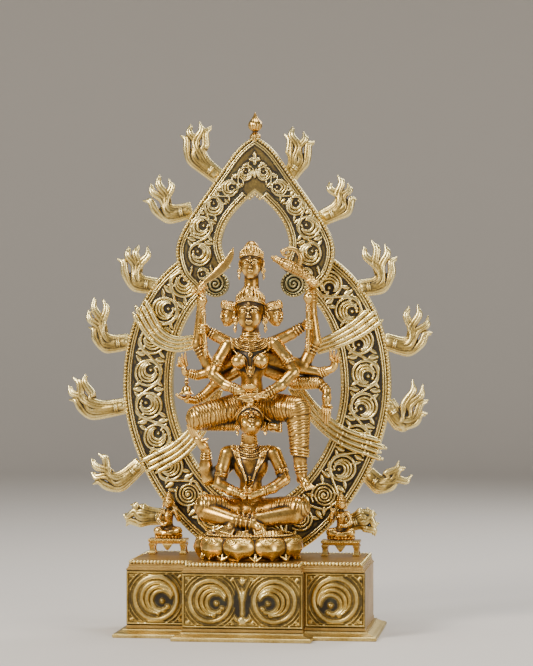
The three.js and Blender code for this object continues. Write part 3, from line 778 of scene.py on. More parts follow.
def corner_leaves(relief, low, high, centre, radius, height):
    """Arcs that echo the roundel in each corner, with a small leaf at the corner itself."""
    for sx in (-1, 1):
        for sz in (-1, 1):
            edge_x = high if sx > 0 else low
            edge_z = PANEL_HIGH if sz > 0 else PANEL_LOW
            diagonal = math.degrees(math.atan2(edge_z - centre[1], edge_x - centre[0]))
            for size, half in ((1.12, 30), (1.26, 17)):
                angle = np.radians(np.linspace(diagonal - half, diagonal + half, 14))
                path = np.column_stack([centre[0] + radius * size * np.cos(angle),
                                        centre[1] + radius * size * np.sin(angle)])
                relief.stroke(path, 2.3 * np.sin(np.linspace(0.35, math.pi - 0.35, 14)), height)
            corner = np.array((edge_x - sx * 4.2, edge_z - sz * 4.2))
            inward_way = unit(np.array(centre) - corner)
            leaf(relief, corner, corner + inward_way * 6.0, 4.2, height)


def draw_wing(side):
    middle = side * (WALL["half"] + WALL["bay"]) / 2
    centre, radius = (middle, (PANEL_LOW + PANEL_HIGH) / 2), 27.6

    def draw(relief):
        low, high = middle - 34.5, middle + 34.5
        corner_leaves(relief, low, high, centre, radius, 2.2)
        scroll(relief, centre, radius, -25 if side < 0 else -130, -side, 3.0)

    return draw


def draw_bay(relief):
    middle = (PANEL_LOW + PANEL_HIGH) / 2
    radius, aside = 26.0, 37.0
    for side in (-1, 1):
        centre = (side * aside, middle)
        corner_leaves(relief, centre[0] - 32, centre[0] + 32, centre, radius, 2.1)
        scroll(relief, centre, radius, -20 if side < 0 else -160, -side, 3.0)
        leaf(relief, (side * 2.0, middle - 18), (side * 9.5, middle + 24), 3.6, 2.3, bend=side * 0.1)
        leaf(relief, (side * 1.5, PANEL_LOW + 8), (side * 9, PANEL_LOW + 15), 4.5, 2.4, bend=-side * 0.25)
        leaf(relief, (0, PANEL_HIGH - 14), (side * 5, PANEL_HIGH - 6), 4.0, 2.4, bend=side * 0.2)
    stem = np.column_stack([np.zeros(30), np.linspace(middle - 16, middle + 14, 30)])
    relief.stroke(stem, 3.2 + 0.9 * np.sin(np.arange(30) * 2.2), 2.3)
    relief.dot((0, PANEL_LOW + 8.5), 5.2, 2.6)
    relief.dot((0, PANEL_HIGH - 9), 3.6, 2.6)
    relief.dot((0, PANEL_HIGH - 5), 2.2, 2.4)


def panels():
    wide = WALL["half"] - WALL["bay"]
    for side, word in SIDES:
        low = -WALL["half"] if side < 0 else WALL["bay"]
        panel_sheet(f"scroll_panel_{word}", low, low + wide, WALL["wing"], draw_wing(side))
    panel_sheet("scroll_panel_centre", -WALL["bay"], WALL["bay"], WALL["front"], draw_bay)


# ---- Ring and crest -----------------------------------------------------------------------------

RING_FRONT, RING_BACK = 46.0, 60.0
RING_MIDDLE = 285.0
RING_OUTER = {"half": 161.0, "top": 181.0, "bottom": 210.0}
RING_INNER = {"half": 101.0, "top": 134.0, "bottom": 141.0}
TOP_POWER, BOTTOM_POWER = 2 / 2.2, 2 / 1.75


def oval(size, angle):
    """A point on an oval of two half superellipses; angle in radians from +x, anticlockwise."""
    c, s = np.cos(angle), np.sin(angle)
    power = np.where(s >= 0, TOP_POWER, BOTTOM_POWER)
    rise = np.where(s >= 0, size["top"], size["bottom"])
    x = size["half"] * np.sign(c) * np.abs(c) ** power
    return np.column_stack([x, RING_MIDDLE + rise * np.sign(s) * np.abs(s) ** power])


def band_sections(inner, outer, relief, front, back, across, ground):
    """Closed sections between two matched edge curves, with the relief on the front."""
    even = np.linspace(0, 1, across)
    eased = 0.5 - 0.5 * np.cos(math.pi * np.clip(even * 0.94 + 0.03, 0, 1))
    w = 0.25 * eased + 0.75 * even
    flat = inner[:, None, :] + (outer - inner)[:, None, :] * w[None, :, None]
    x, z = flat[..., 0], flat[..., 1]
    width = np.linalg.norm(outer - inner, axis=1)[:, None]
    edge = np.minimum(w, 1 - w)[None, :] * width
    rounding = 1.6 * np.clip(1 - edge / 1.6, 0, 1) ** 2
    rise = relief.sample(x, z)
    y = front + ground + rounding - rise
    face = np.stack([x, y, z], axis=-1)
    rim_band = np.clip((5.0 - edge) / 1.2, 0, 1)
    tone = np.maximum(-0.36 + 0.9 * np.clip(rise / 1.5, 0, 1), -0.62 + 0.9 * rim_band)
    rim = []
    for share, across_share in ((0.45, 1), (1, 1), (1, 0.75), (1, 0.5), (1, 0.25), (1, 0), (0.45, 0)):
        curve = inner + (outer - inner) * across_share
        depth = np.full(len(curve), front + (back - front) * share)
        rim.append(np.stack([curve[:, 0], depth, curve[:, 1]], axis=-1))
    tone = np.pad(tone, ((0, 0), (0, len(rim))), constant_values=0.05)
    return np.concatenate([face, np.stack(rim, axis=1)], axis=1), tone


def matched(inner, outer, spacing):
    """Resamples two edge curves with the same count, even along the outer one."""
    outer_even = evenly(outer, spacing)
    return evenly(inner, count=len(outer_even)), outer_even


def inward(curve, distance, centre):
    """The curve moved sideways towards the centre point by a distance."""
    ahead = np.gradient(curve, axis=0)
    side = np.column_stack([-ahead[:, 1], ahead[:, 0]])
    side /= np.maximum(np.linalg.norm(side, axis=1), 1e-9)[:, None]
    flip = np.sign(((np.array(centre) - curve) * side).sum(axis=1))
    return curve + side * (flip * distance)[:, None]


def to_axis(line):
    """Cuts or extends a half outline so that it ends on the middle plane."""
    line = line[line[:, 0] > 0.05]
    way = line[-1] - line[-4]
    if way[0] < 0:
        line = np.vstack([line, line[-1] + way * line[-1][0] / -way[0]])
    return line


def border_lines(relief, inner, outer, centre, lines):
    """Raised lines that follow both edges; lines holds (distance, width, height)."""
    for distance, width, height in lines:
        relief.stroke(inward(outer, distance, centre), width, height)
        relief.stroke(inward(inner, -distance, centre), width, height)


def vine(relief, middle, radii, height, first=1, coils=()):
    """Roundels of alternating sense, joined by S-shaped stems, with sprigs against the borders."""
    ahead = np.gradient(middle, axis=0)
    ahead /= np.linalg.norm(ahead, axis=1)[:, None]
    sense = first
    for i, (centre, way, radius) in enumerate(zip(middle, ahead, radii)):
        heading = math.degrees(math.atan2(way[1], way[0]))
        across = np.array([-way[1], way[0]])
        if i in coils:
            coil_roundel(relief, centre, radius, heading + 200 * sense, sense, height)
        else:
            nested = 3 if radius > 15 else 2
            scroll(relief, centre, radius, heading + 140 * sense, sense, height, nested)
        if i + 1 < len(middle):
            nearby, size = middle[i + 1], radii[i + 1]
            a = centre + across * radius * 0.92 * sense - way * radius * 0.15
            b = nearby - across * size * 0.92 * sense + way * size * 0.15
            bend = [a, centre + across * radius * 0.8 * sense + way * radius * 0.62,
                    nearby - across * size * 0.8 * sense - way * size * 0.62, b]
            relief.stroke(smooth_path(bend, 8), radius * 0.2, height)
            gap = (centre + nearby) / 2
            for hand in (-1, 1):
                side = across * hand * sense
                corner = gap + side * radius * 1.02 - way * hand * radius * 0.05
                for turn, length, wide in ((0, 0.55, 0.4), (0.6, 0.48, 0.3), (-0.6, 0.48, 0.3)):
                    root = corner - side * radius * length + way * radius * turn
                    leaf(relief, corner + way * radius * turn * 0.35, root, radius * wide, height * 0.85)
                relief.dot(corner, radius * 0.12, height * 0.9)
        sense = -sense


def ring():
    angle = np.linspace(math.radians(-269.9), math.radians(89.9), 1400)
    outer, inner = oval(RING_OUTER, angle), oval(RING_INNER, angle)
    relief = Relief((-165, 84), (165, 470), 0.5)
    centre = (0, RING_MIDDLE)
    line_set = [(6.2, 2.2, 1.9), (9.0, 2.2, 2.1)]
    border_lines(relief, inner, outer, centre, line_set)
    foot_line = np.array([[-60, DECK_TOP + 5], [60, DECK_TOP + 5]])
    relief.stroke(foot_line, 2.5, 1.8)
    middle = evenly((outer + inner) / 2, count=400)
    start, stop = 24, 376
    spots = evenly(middle[start:stop], spacing=38.5)
    low_spots = [i for i, spot in enumerate(spots) if spot[1] < 178]
    vine(relief, spots, np.full(len(spots), 16.6), 2.5, coils=low_spots)

    keep = np.abs(angle + math.pi / 2) < math.radians(151)
    inner_keep, outer_keep = matched(inner[keep], outer[keep], 0.62)
    for curve in (inner_keep, outer_keep):
        curve[:, 1] = np.maximum(curve[:, 1], DECK_TOP + 0.3)
    sections, tone = band_sections(inner_keep, outer_keep, relief, RING_FRONT, RING_BACK, 96, 2.2)
    loft("ring", sections, RELIEF, rounds=12, scale=0.40, tone=tone)

    rows = []
    for curve, distance, depth in ((outer, 2.4, RING_FRONT + 1.4), (inner, -2.4, RING_FRONT + 3.2)):
        row = inward(curve, distance, centre)[keep]
        row = row[row[:, 1] > DECK_TOP + 3]
        rows.append(np.column_stack([row[:, 0], np.full(len(row), depth), row[:, 1]]))
    bead_row("ring_beads", rows, 2.0, 4.1, RELIEF, node="ring")


CREST_FRONT, CREST_BACK = 33.5, 45.5
CREST_OUTER = [(66, 397), (86, 417), (94, 438), (94, 456), (86, 476), (71, 500), (46, 535.5), (21.6, 569),
               (0.3, 586)]
CREST_INNER = [(30, 430), (37, 443), (40.5, 458), (36, 476), (27, 491.5), (12.7, 507), (0.3, 518)]


def crest():
    outer = evenly(smooth_path(CREST_OUTER, 12), count=330)
    inner = evenly(smooth_path(CREST_INNER, 12), count=330)
    relief = Relief((-100, 392), (100, 590), 0.45)
    for side in (-1, 1):
        flip = np.array([side, 1])
        for distance, width, height in ((6.0, 1.9, 1.8), (8.4, 1.9, 2.0)):
            line = inward(outer, distance, (66, 460))
            relief.stroke(to_axis(line) * flip, width, height)
            line = inward(inner, distance, (66, 460))
            relief.stroke(to_axis(line) * flip, width, height)
        spots = np.array([(11.0, 540), (29.8, 523.5), (48.8, 501.5), (65.0, 476.5), (65.8, 444.5)]) * flip
        vine(relief, spots, [8.6, 10.0, 11.8, 13.9, 14.0], 2.3, first=side)
        scroll(relief, (side * 61.5, 421.5), 7.4, 200, -side, 2.2, 1)
        sprigs = (((53, 431), (50, 420), 3.6), ((75, 430), (77, 420), 3.6), ((61, 413), (62, 405), 3.6),
                  ((7, 553), (15, 549), 3.4), ((4, 548), (9, 551), 3.0), ((20, 540), (26, 536), 3.4),
                  ((2, 546), (0.5, 535), 3.2), ((19, 530), (21, 523), 3.0), ((39, 527), (44, 521), 3.4))
        for base, tip, wide in sprigs:
            leaf(relief, np.array(tip) * flip, np.array(base) * flip, wide, 2.2)
    for way in ((0, 8), (0, -6), (6, 0), (-6, 0)):
        leaf(relief, (0, 557), (way[0], 557 + way[1]), 5, 2.4)
    whole_outer = np.vstack([outer, (outer * (-1, 1))[::-1]])
    whole_inner = np.vstack([inner, (inner * (-1, 1))[::-1]])
    sections, tone = band_sections(whole_inner, whole_outer, relief, CREST_FRONT, CREST_BACK, 92, 2.0)
    loft("crest", sections, RELIEF, rounds=12, scale=0.38, tone=tone)
    rows = []
    for curve, distance, depth in ((outer, 2.2, CREST_FRONT + 1.2), (inner, 2.0, CREST_FRONT + 2.6)):
        row = to_axis(inward(curve, distance, (66, 460)))
        for side in (-1, 1):
            rows.append(np.column_stack([side * row[:, 0], np.full(len(row), depth), row[:, 1]]))
    bead_row("crest_beads", rows, 1.9, 3.9, RELIEF, node="crest")


# ---- Volutes, finial and flames -----------------------------------------------------------------

def volute(side, word):
    """A round boss of concentric coils with a beaded rim."""
    x0, z0, radius = side * 46.7, 409.0, 16.0
    front, back = CREST_FRONT - 1.0, CREST_BACK
    clay = Clay((x0 - radius, front - 2.5, z0 - radius), (x0 + radius, back, z0 + radius), 0.4)

    def coil(x, y, z):
        away = np.hypot(x - x0, z - z0)
        angle = np.arctan2(z - z0, side * (x - x0))
        wave = np.abs(np.sin(math.pi * (away / 4.4 + angle / (2 * math.pi)))) ** 0.6
        fade = np.clip((radius - 3.4 - away) / 1.0, 0, 1)
        rise = 2.3 * wave * fade + 0.9 * np.clip(1 - away / 5, 0, 1)
        return np.maximum(np.maximum(away - radius + 0.6, front + 1.4 - rise - y), y - back)

    clay.shape((x0 - radius, front - 3, z0 - radius), (x0 + radius, back, z0 + radius), coil)
    circle = np.linspace(0, 2 * math.pi, 25)[:-1]
    for angle in circle:
        spot = (x0 + (radius - 1.9) * math.cos(angle), front + 1.0, z0 + (radius - 1.9) * math.sin(angle))
        clay.ball(spot, (1.75, 1.75, 1.75), 0.2)
    fired(clay, f"volute_{word}", AGED)


def turned(name, profile, centre, finish, sides=48, flutes=0, flute_depth=0.0):
    """A lathe-turned body from (radius, height) pairs, with optional upright flutes."""
    angle = np.linspace(0, 2 * math.pi, sides, endpoint=False)
    sections = []
    for radius, height in evenly(np.array(profile, float), 0.45):
        r = radius + flute_depth * min(1.0, radius / 5) * np.cos(flutes * angle)
        sections.append(np.column_stack([centre[0] + r * np.cos(angle),
                                         centre[1] + r * np.sin(angle),
                                         np.full(sides, centre[2] + height)]))
    loft(name, sections, finish)


def finial():
    middle = (CREST_FRONT + CREST_BACK) / 2
    profile = smooth_path([(0.5, -6), (5, -5), (6.2, 0), (5.6, 2.2), (3.4, 4.6), (3.2, 6.4), (6.6, 9.2),
                           (8.2, 13), (7.4, 17.2), (4.4, 21), (2.1, 25), (0.9, 28.0), (0.15, 29)], 8)
    turned("finial", profile, (0, middle, 584.0), BUD, 64, 12, 0.28)


FLAMES = {
    "left_1": ((-50, 541), (-72, 559), ((-90, 588), (-80, 600), (-67, 603), (-55, 598))),
    "left_2": ((-84, 497), (-106, 492), ((-136, 511), (-128, 529), (-118, 540), (-104, 535))),
    "left_3": ((-126, 408), (-146, 411), ((-167, 441), (-155, 454), (-143, 456), (-130, 454))),
    "left_4": ((-160, 340), (-183, 337), ((-202, 359), (-204, 378), (-197, 393), (-184, 391))),
    "left_5": ((-163, 263), (-198, 257), ((-226, 272), (-228, 287), (-221, 298), (-208, 301))),
    "left_6": ((-144, 190), (-166, 170), ((-198, 171), (-200, 183), (-200, 199), (-190, 207))),
    "left_7": ((-112, 131), (-136, 132), ((-158, 121), (-161, 133), (-151, 146), (-135, 146))),
    "right_1": ((43, 542), (50, 553), ((35, 588), (43, 596), (58, 590), (69, 579))),
    "right_2": ((84, 490), (103, 499), ((87, 530), (99, 538), (111, 528), (119, 510))),
    "right_3": ((128, 405), (151, 408), ((128, 453), (139, 461), (155, 456), (167, 441))),
    "right_4": ((159, 340), (183, 333), ((181, 382), (194, 384), (206, 370), (209, 352))),
    "right_5": ((160, 263), (174, 241), ((188, 295), (200, 289), (204, 272), (203, 256))),
    "right_6": ((137, 180), (149, 169), ((171, 198), (177, 192), (186, 181), (173, 176))),
    "right_7": ((112, 125), (126, 130), ((134, 143), (143, 136), (146, 124), (142, 111))),
}
FLAME_Y = 53.0


def flame(word, root, palm, tips):
    """A tuft like a hand: grooved wrist, broad palm and four wavy fingers of two strands each."""
    spots = np.array([root, palm, *tips], float)
    low, high = spots.min(axis=0) - 16, spots.max(axis=0) + 8
    clay = Clay((low[0], FLAME_Y - 11, low[1]), (high[0], FLAME_Y + 7, high[1]), 0.5)
    root, palm = np.array(root, float), np.array(palm, float)
    heading = unit(palm - root)
    across = np.array([-heading[1], heading[0]])
    order = np.argsort([(np.array(tip) - palm) @ across for tip in tips])
    hub = palm + (np.array(tips, float).mean(axis=0) - palm) * 0.12
    clay.ball((hub[0], FLAME_Y - 0.5, hub[1]), (10.0, 5.0, 10.0), 1.0)
    clay.limb((*root[:1], FLAME_Y, *root[1:]), (palm[0], FLAME_Y, palm[1]), 7.0, 7.5, 1.5)
    strand = 0
    for place, pick in enumerate(order):
        tip = np.array(tips[pick], float)
        reach = np.linalg.norm(tip - palm)
        way = unit(tip - palm)
        side = np.array([-way[1], way[0]])
        wave = side * (3.5 if place % 2 else -3.5)
        for lane in (-1, 1):
            offset = (strand - 3.5) * 2.75
            dome = 4.6 * (1 - (offset / 14) ** 2)
            start = root - heading * 5 + across * offset * 0.8
            knuckle = root + (palm - root) * 0.6 + across * offset * 0.9
            spread = palm + across * offset * 1.02 + way * reach * 0.14
            middle = palm + way * reach * 0.46 + side * lane * 2.0 + wave
            late = palm + way * reach * 0.78 + side * lane * 1.6 - wave * 0.7
            end = tip + wave * 0.3 - way * (0 if lane > 0 else 2.5) + side * lane * 0.5
            depths = (dome * 0.8, dome, dome + 0.8, 3.2, 2.4, 1.0)
            sizes = (2.0, 2.3, 2.6, 2.9, 2.6, 0.9)
            flat = (start, knuckle, spread, middle, late, end)
            clay.cord([(p[0], FLAME_Y - y, p[1], r) for p, y, r in zip(flat, depths, sizes)], 0.15, 6)
            strand += 1
        core = [(*palm, 5.0), (*(palm + way * reach * 0.46 + wave), 3.8),
                (*(palm + way * reach * 0.78 - wave * 0.7), 3.0), (*(tip - way * 3 + wave * 0.3), 1.2)]
        clay.cord([(x, FLAME_Y + 0.4, z, r) for x, z, r in core], 0.8, 5)
    cuff = root + heading * 5.5
    for shift in (0, 2.4):
        ends = [(*(cuff + heading * shift + across * side * 9.0), side) for side in (-1, 0, 1)]
        run = [(x, FLAME_Y - (7.2 if side == 0 else 0.5), z, 1.2) for x, z, side in ends]
        clay.cord(run, 0.2, 8)
    fired(clay, f"flame_{word}", RELIEF, rounds=12, scale=0.5)


SCARF_Y = 41.6


def scarf(word, run):
    """Four tube-like strands side by side, with ring marks near the outer end and ragged tips."""
    low, high = np.min(run, axis=0) - 19, np.max(run, axis=0) + 19
    clay = Clay((low[0], 36.0, low[1]), (high[0], 47.5, high[1]), 0.6)
    path = evenly(smooth_path(run, 10), count=30)
    ahead = np.gradient(path, axis=0)
    ahead /= np.linalg.norm(ahead, axis=1)[:, None]
    across = np.column_stack([-ahead[:, 1], ahead[:, 0]])
    share = np.linspace(0, 1, len(path))
    for lane in range(4):
        place = (lane - 1.5) * (4.3 + 2.5 * share)
        radius = 2.15 + 0.95 * share
        stop = len(path) - (0, 1, 0, 2)[lane]
        strand = path + across * place[:, None]
        spots = [(x, SCARF_Y, z) for x, z in strand[:stop]]
        for k in range(stop - 1):
            clay.limb(spots[k], spots[k + 1], radius[k], radius[k + 1])
        for mark in (stop - 4, stop - 5, stop - 11, stop - 12):
            clay.hoop(spots[mark], (ahead[mark][0], 0, ahead[mark][1]), radius[mark], 0.55, 0.15)
        end = strand[stop - 1] + ahead[stop - 1] * 4.5
        tip = (end[0], SCARF_Y + 0.9, end[1])
        clay.limb(spots[-1], tip, radius[-1], 1.2, 0.4)
        clay.ball(tip, (1.7, 1.7, 1.7), 0.3)
    fired(clay, f"scarf_{word}", RELIEF)


# ---- Lotus seat ---------------------------------------------------------------------------------

LOTUS_Y, LOTUS_SQUASH = -16.0, 0.8
PETALS = 9


def lotus():
    clay = Clay((-72, LOTUS_Y - 58, 88.3), (72, LOTUS_Y + 58, 116), 0.62)

    def body(x, y, z):
        around = np.hypot(x, (y - LOTUS_Y) / LOTUS_SQUASH)
        side = 51 + 5.5 * np.sin(math.pi * np.clip((z - 88.3) / 27, 0, 1))
        return np.maximum(np.maximum((around - side) * 0.85, z - 115.0), 88.4 - z)

    clay.shape((-70, LOTUS_Y - 56, 88), (70, LOTUS_Y + 56, 115), body)
    for k in range(PETALS):
        for filler in (False, True):
            angle = math.radians(-97 + 360 * (k + 0.5 * filler) / PETALS)
            out = vec(math.cos(angle), LOTUS_SQUASH * math.sin(angle), 0)
            normal = unit((out[0] * LOTUS_SQUASH, out[1] / LOTUS_SQUASH, 0))
            along = np.cross((0, 0, 1), normal)
            turn = np.stack([along, normal, (0, 0, 1)], axis=1)
            if filler:
                spot = out * 57 + (0, LOTUS_Y, 89.5)
                for way in (-1, 0, 1):
                    tip = spot + along * way * 6.5 + (0, 0, 7.5 - 3.5 * abs(way))
                    clay.limb(spot, tip, 3.0, 0.9, 0.6)
                continue
            spot = out * 51.0 + (0, LOTUS_Y, 104.5)
            clay.ball(spot, (20.5, 12.5, 13.5), 0.25, turn)
            low = out * 56.5 + (0, LOTUS_Y, 99.0)
            clay.limb(low, low + normal * 2.0 + (0, 0, -9.4), 9.0, 1.0, 5.0)
            for side in (-1, 1):
                for ring, tube in ((6.6, 0.8), (4.2, 0.8), (1.8, 0.9)):
                    arc = []
                    for turnby in np.linspace(0.05, math.pi - 0.05, 12):
                        x = side * 7.6 + ring * math.cos(turnby)
                        z = 9.3 - ring * 0.85 * math.sin(turnby)
                        deep = 12.5 * math.sqrt(max(0.02, 1 - (x / 20.5) ** 2 - (z / 13.5) ** 2))
                        arc.append((*(spot + along * x + normal * deep + (0, 0, z)), tube))
                    clay.chain(arc, 0.3)
    clay.trim(lambda x, y, z: np.maximum(z - 115.2, 88.4 - z))
    fired(clay, "lotus_seat", SEAT, rounds=18, scale=0.5)
    angle = np.linspace(0, 2 * math.pi, 240)
    oval_path = np.column_stack([49.6 * np.cos(angle), LOTUS_Y + 49.6 * LOTUS_SQUASH * np.sin(angle),
                                 np.full(240, 117.0)])
    bead_row("lotus_rim_beads", [oval_path], 1.85, 3.7, SEAT, node="lotus_rim")
    section = [(50.8, 115.35), (51.5, 115.9), (51.0, 116.4), (47.8, 116.6), (47.4, 115.4)]
    hoops = []
    for a in angle[:-1]:
        hoops.append([(r * math.cos(a), LOTUS_Y + r * LOTUS_SQUASH * math.sin(a), z) for r, z in section])
    loft("lotus_rim", hoops, SEAT, closed=True)


# ---- Heads --------------------------------------------------------------------------------------

def model_head(name, at, size, yaw=0.0, pitch=0.0, step=0.4, crown=2.05, pendants=True,
               neck=(0.5, 1.32), spire=True, tall=1.17):
    """A calm, plain face of even proportions under a fluted crown; size is half the head's width."""
    R = size
    low = -1.2 if neck is None else -neck[1] - 0.6
    clay = Clay((-1.55 * R, -1.35 * R, low * R), (1.55 * R, 1.3 * R, (max(crown, 1.5) + 0.1) * R), step)

    def spot(x, y, z):
        return (x * R, y * R, z * R)

    def on(x, z, out=0.0):
        y = clay.front(x * R, z * R)
        return (x * R, (y if y is not None else 0.0) - out * R, z * R)

    clay.ball(spot(0, 0.12, 0.2), spot(0.97, 1.0, 1.0))
    clay.ball(spot(0, -0.14, -0.2), spot(0.8, 0.8, 0.93), 0.22 * R)
    clay.ball(spot(0, -0.52, -0.9), spot(0.26, 0.24, 0.19), 0.22 * R)
    for side in (-1, 1):
        clay.ball(spot(side * 0.44, -0.58, -0.36), spot(0.32, 0.24, 0.36), 0.22 * R)
    if neck is not None:
        clay.limb(spot(0, 0.08, -0.7), spot(0, 0.14, -neck[1]), neck[0] * R, neck[0] * R * 1.08, 0.1 * R)

    eye_x, eye_z = 0.36, 0.06
    for side in (-1, 1):
        y = on(side * eye_x, eye_z)[1] / R
        clay.ball(spot(side * eye_x, y - 0.03, eye_z + 0.02), spot(0.27, 0.13, 0.14), 0.09 * R, carve=True)
        clay.ball(spot(side * eye_x, y + 0.075, eye_z - 0.01), spot(0.21, 0.11, 0.10), 0.02 * R)
        clay.ball(spot(side * eye_x, y + 0.06, eye_z + 0.055), spot(0.24, 0.115, 0.085), 0.02 * R)
    for side in (-1, 1):
        lid = [on(side * x, z, 0.012) for x, z in ((0.13, 0.0), (0.24, 0.02), (0.38, 0.02), (0.52, 0.01),
                                                   (0.64, 0.02))]
        clay.cord([(*p, 0.034 * R) for p in lid], 0.02 * R)
        low = [on(side * x, z, 0.0) for x, z in ((0.15, 0.0), (0.27, -0.07), (0.4, -0.08), (0.56, -0.02))]
        clay.cord([(*p, 0.024 * R) for p in low], 0.02 * R)
        brow = [on(side * x, z, 0.005) for x, z in ((0.12, 0.25), (0.26, 0.31), (0.42, 0.31), (0.58, 0.24),
                                                    (0.68, 0.15))]
        clay.cord([(*p, 0.026 * R) for p in brow], 0.06 * R)
    top, base = on(0, 0.2), on(0, -0.3)
    clay.chain([(top[0], top[1] + 0.02 * R, top[2], 0.055 * R),
                (0, (top[1] + base[1]) / 2 - 0.09 * R, -0.06 * R, 0.07 * R),
                (0, base[1] - 0.17 * R, -0.235 * R, 0.095 * R)], 0.06 * R)
    for side in (-1, 1):
        clay.ball((side * 0.11 * R, base[1] - 0.05 * R, -0.255 * R), spot(0.08, 0.09, 0.07), 0.03 * R)
    mouth = -0.53
    bow = ((-0.25, 0), (-0.1, 0.06), (0, 0.035), (0.1, 0.06), (0.25, 0))
    upper = [on(x, mouth + z, 0.01) for x, z in bow]
    lower = [on(x, mouth + z, 0.01) for x, z in ((-0.2, -0.04), (0, -0.105), (0.2, -0.04))]
    clay.cord([(*p, r * R) for p, r in zip(upper, (0.02, 0.052, 0.048, 0.052, 0.02))], 0.03 * R)
    clay.cord([(*p, r * R) for p, r in zip(lower, (0.03, 0.062, 0.03))], 0.03 * R)
    for side in (-1, 1):
        ear = [(0.88, 0.02, 0.16), (1.0, 0.16, 0.24), (1.06, 0.2, 0.02), (1.0, 0.08, -0.28),
               (0.92, -0.02, -0.34), (0.9, 0.0, -0.1)]
        clay.cord([(side * x * R, y * R, z * R, 0.065 * R) for x, y, z in ear], 0.05 * R)
        clay.ball(spot(side * 0.94, 0.14, 0.0), spot(0.1, 0.16, 0.24), 0.05 * R)
        if pendants:
            clay.hoop(spot(side * 1.03, -0.02, -0.5), (side * 0.35, -1, 0), 0.15 * R, 0.06 * R)
            clay.ball(spot(side * 1.03, -0.04, -0.5), spot(0.08, 0.08, 0.08))
            clay.chain([(*spot(side * 1.03, 0.0, -0.66), 0.06 * R),
                        (*spot(side * 1.07, 0.02, -0.92), 0.12 * R),
                        (*spot(side * 1.05, 0.04, -1.1), 0.05 * R)], 0.04 * R)
    clay.ball(on(0, 0.47), spot(0.07, 0.05, 0.09), 0.01 * R)

    def round_head(height, radius):
        """A loop round the head that dips towards the ears and rises over the brow."""
        angle = np.linspace(0, 2 * math.pi, 73)
        x, y = radius * np.sin(angle), 0.1 - radius * np.cos(angle)
        z = height + 0.12 * np.cos(angle) + 0.06 * np.cos(2 * angle)
        return [(a * R, b * R, c * R) for a, b, c in zip(x, y, z)]

    dome_z = 0.62
    clay.ball(spot(0, 0.1, dome_z), spot(0.97, 0.97, 0.72), 0.04 * R)
    for height, radius, tube in ((0.5, 1.0, 0.06), (0.66, 1.0, 0.05)):
        clay.chain([(*p, tube * R) for p in round_head(height, radius)], 0.01 * R)
    for p in evenly(np.array(round_head(0.58, 1.01)), 0.13 * R):
        clay.ball(p, spot(0.055, 0.055, 0.055))
    flutes = 26
    for k in range(flutes):
        angle = 2 * math.pi * k / flutes
        s, c = math.sin(angle), math.cos(angle)
        rise = 0.75 + 0.3 * max(0, c) ** 2
        rib = [(0.98 * s, 0.1 - 0.98 * c, 0.74 + 0.12 * c, 0.075),
               (0.93 * s, 0.1 - 0.93 * c, rise + 0.12, 0.085), (0.72 * s, 0.1 - 0.72 * c, rise + 0.34, 0.05)]
        clay.chain([(x * R, y * R, z * R, r * R) for x, y, z, r in rib], 0.02 * R)
    if spire:
        clay.chain([(*spot(0, 0.1, 1.1), 0.62 * R), (*spot(0, 0.1, crown - 0.5), 0.36 * R)], 0.15 * R)
        for z, r in ((1.3, 0.58), (crown - 0.55, 0.46)):
            clay.hoop(spot(0, 0.1, z), (0, 0, 1), r * R, 0.055 * R)
        clay.chain([(*spot(0, 0.1, crown - 0.42), 0.28 * R), (*spot(0, 0.1, crown - 0.22), 0.2 * R),
                    (*spot(0, 0.1, crown - 0.06), 0.05 * R)], 0.03 * R)
    medal = on(0, 1.0, 0.02)
    clay.ball((0, medal[1] + 0.02 * R, 0.98 * R), spot(0.3, 0.1, 0.34), 0.05 * R)
    clay.limb((0, medal[1] + 0.06 * R, 1.2 * R), (0, medal[1] + 0.1 * R, 1.45 * R), 0.13 * R, 0.03 * R,
              0.06 * R)
    clay.hoop((0, medal[1] - 0.05 * R, 0.97 * R), (0, 1, 0), 0.17 * R, 0.045 * R)
    clay.ball((0, medal[1] - 0.07 * R, 0.97 * R), spot(0.08, 0.07, 0.08))

    points, quads = largest_parts(*clay.skin())
    # the level holds rubbing, patina and painted shade in hollows
    wear_and_shade = clay.wear_and_shade(points, quads, 14, 0.28)
    points[:, 2] *= tall
    turn = turn_about((0, 0, 1), yaw) @ turn_about((1, 0, 0), pitch)
    points = points @ turn.T + np.array(at, float)
    piece(name, points, quads, FIGURE, wear_and_shade)


# ---- Figures ------------------------------------------------------------------------------------

def folds(direction, pitch, depth, slant=(0, 0, 0)):
    """Cloth ridges across a limb: adds to its radius along a direction, in steps of pitch."""
    d = unit(direction)
    d = (d[0] / pitch + slant[0], d[1] / pitch + slant[1], d[2] / pitch + slant[2])

    def bumps(t, x, y, z):
        phase = x * d[0] + y * d[1] + z * d[2]
        phase = phase + 0.3 * np.sin(1.37 * phase) + 0.14 * np.sin((x - y + z) / 3.1)
        fine = 0.25 * np.abs(np.sin(2 * math.pi * phase)) ** 0.5
        return depth * (np.abs(np.sin(math.pi * phase)) ** 0.4 + fine - 0.85)

    return bumps


def clothed(clay, a, b, ra, rb, pitch=3.3, depth=1.2, slant=(0, 0, 0), blend=1.0):
    clay.limb(a, b, ra, rb, blend, bumps=folds(np.subtract(b, a), pitch * 1.12, depth * 0.78, slant))


def bangles(clay, a, b, places, tube=0.85):
    """Rings round a limb from a to b, each (x, y, z, radius), at shares of its length."""
    a, b = np.array(a, float), np.array(b, float)
    for t in places:
        p = a + (b - a) * t
        clay.hoop(p[:3], (b - a)[:3], p[3] + 0.15, tube, 0.15)


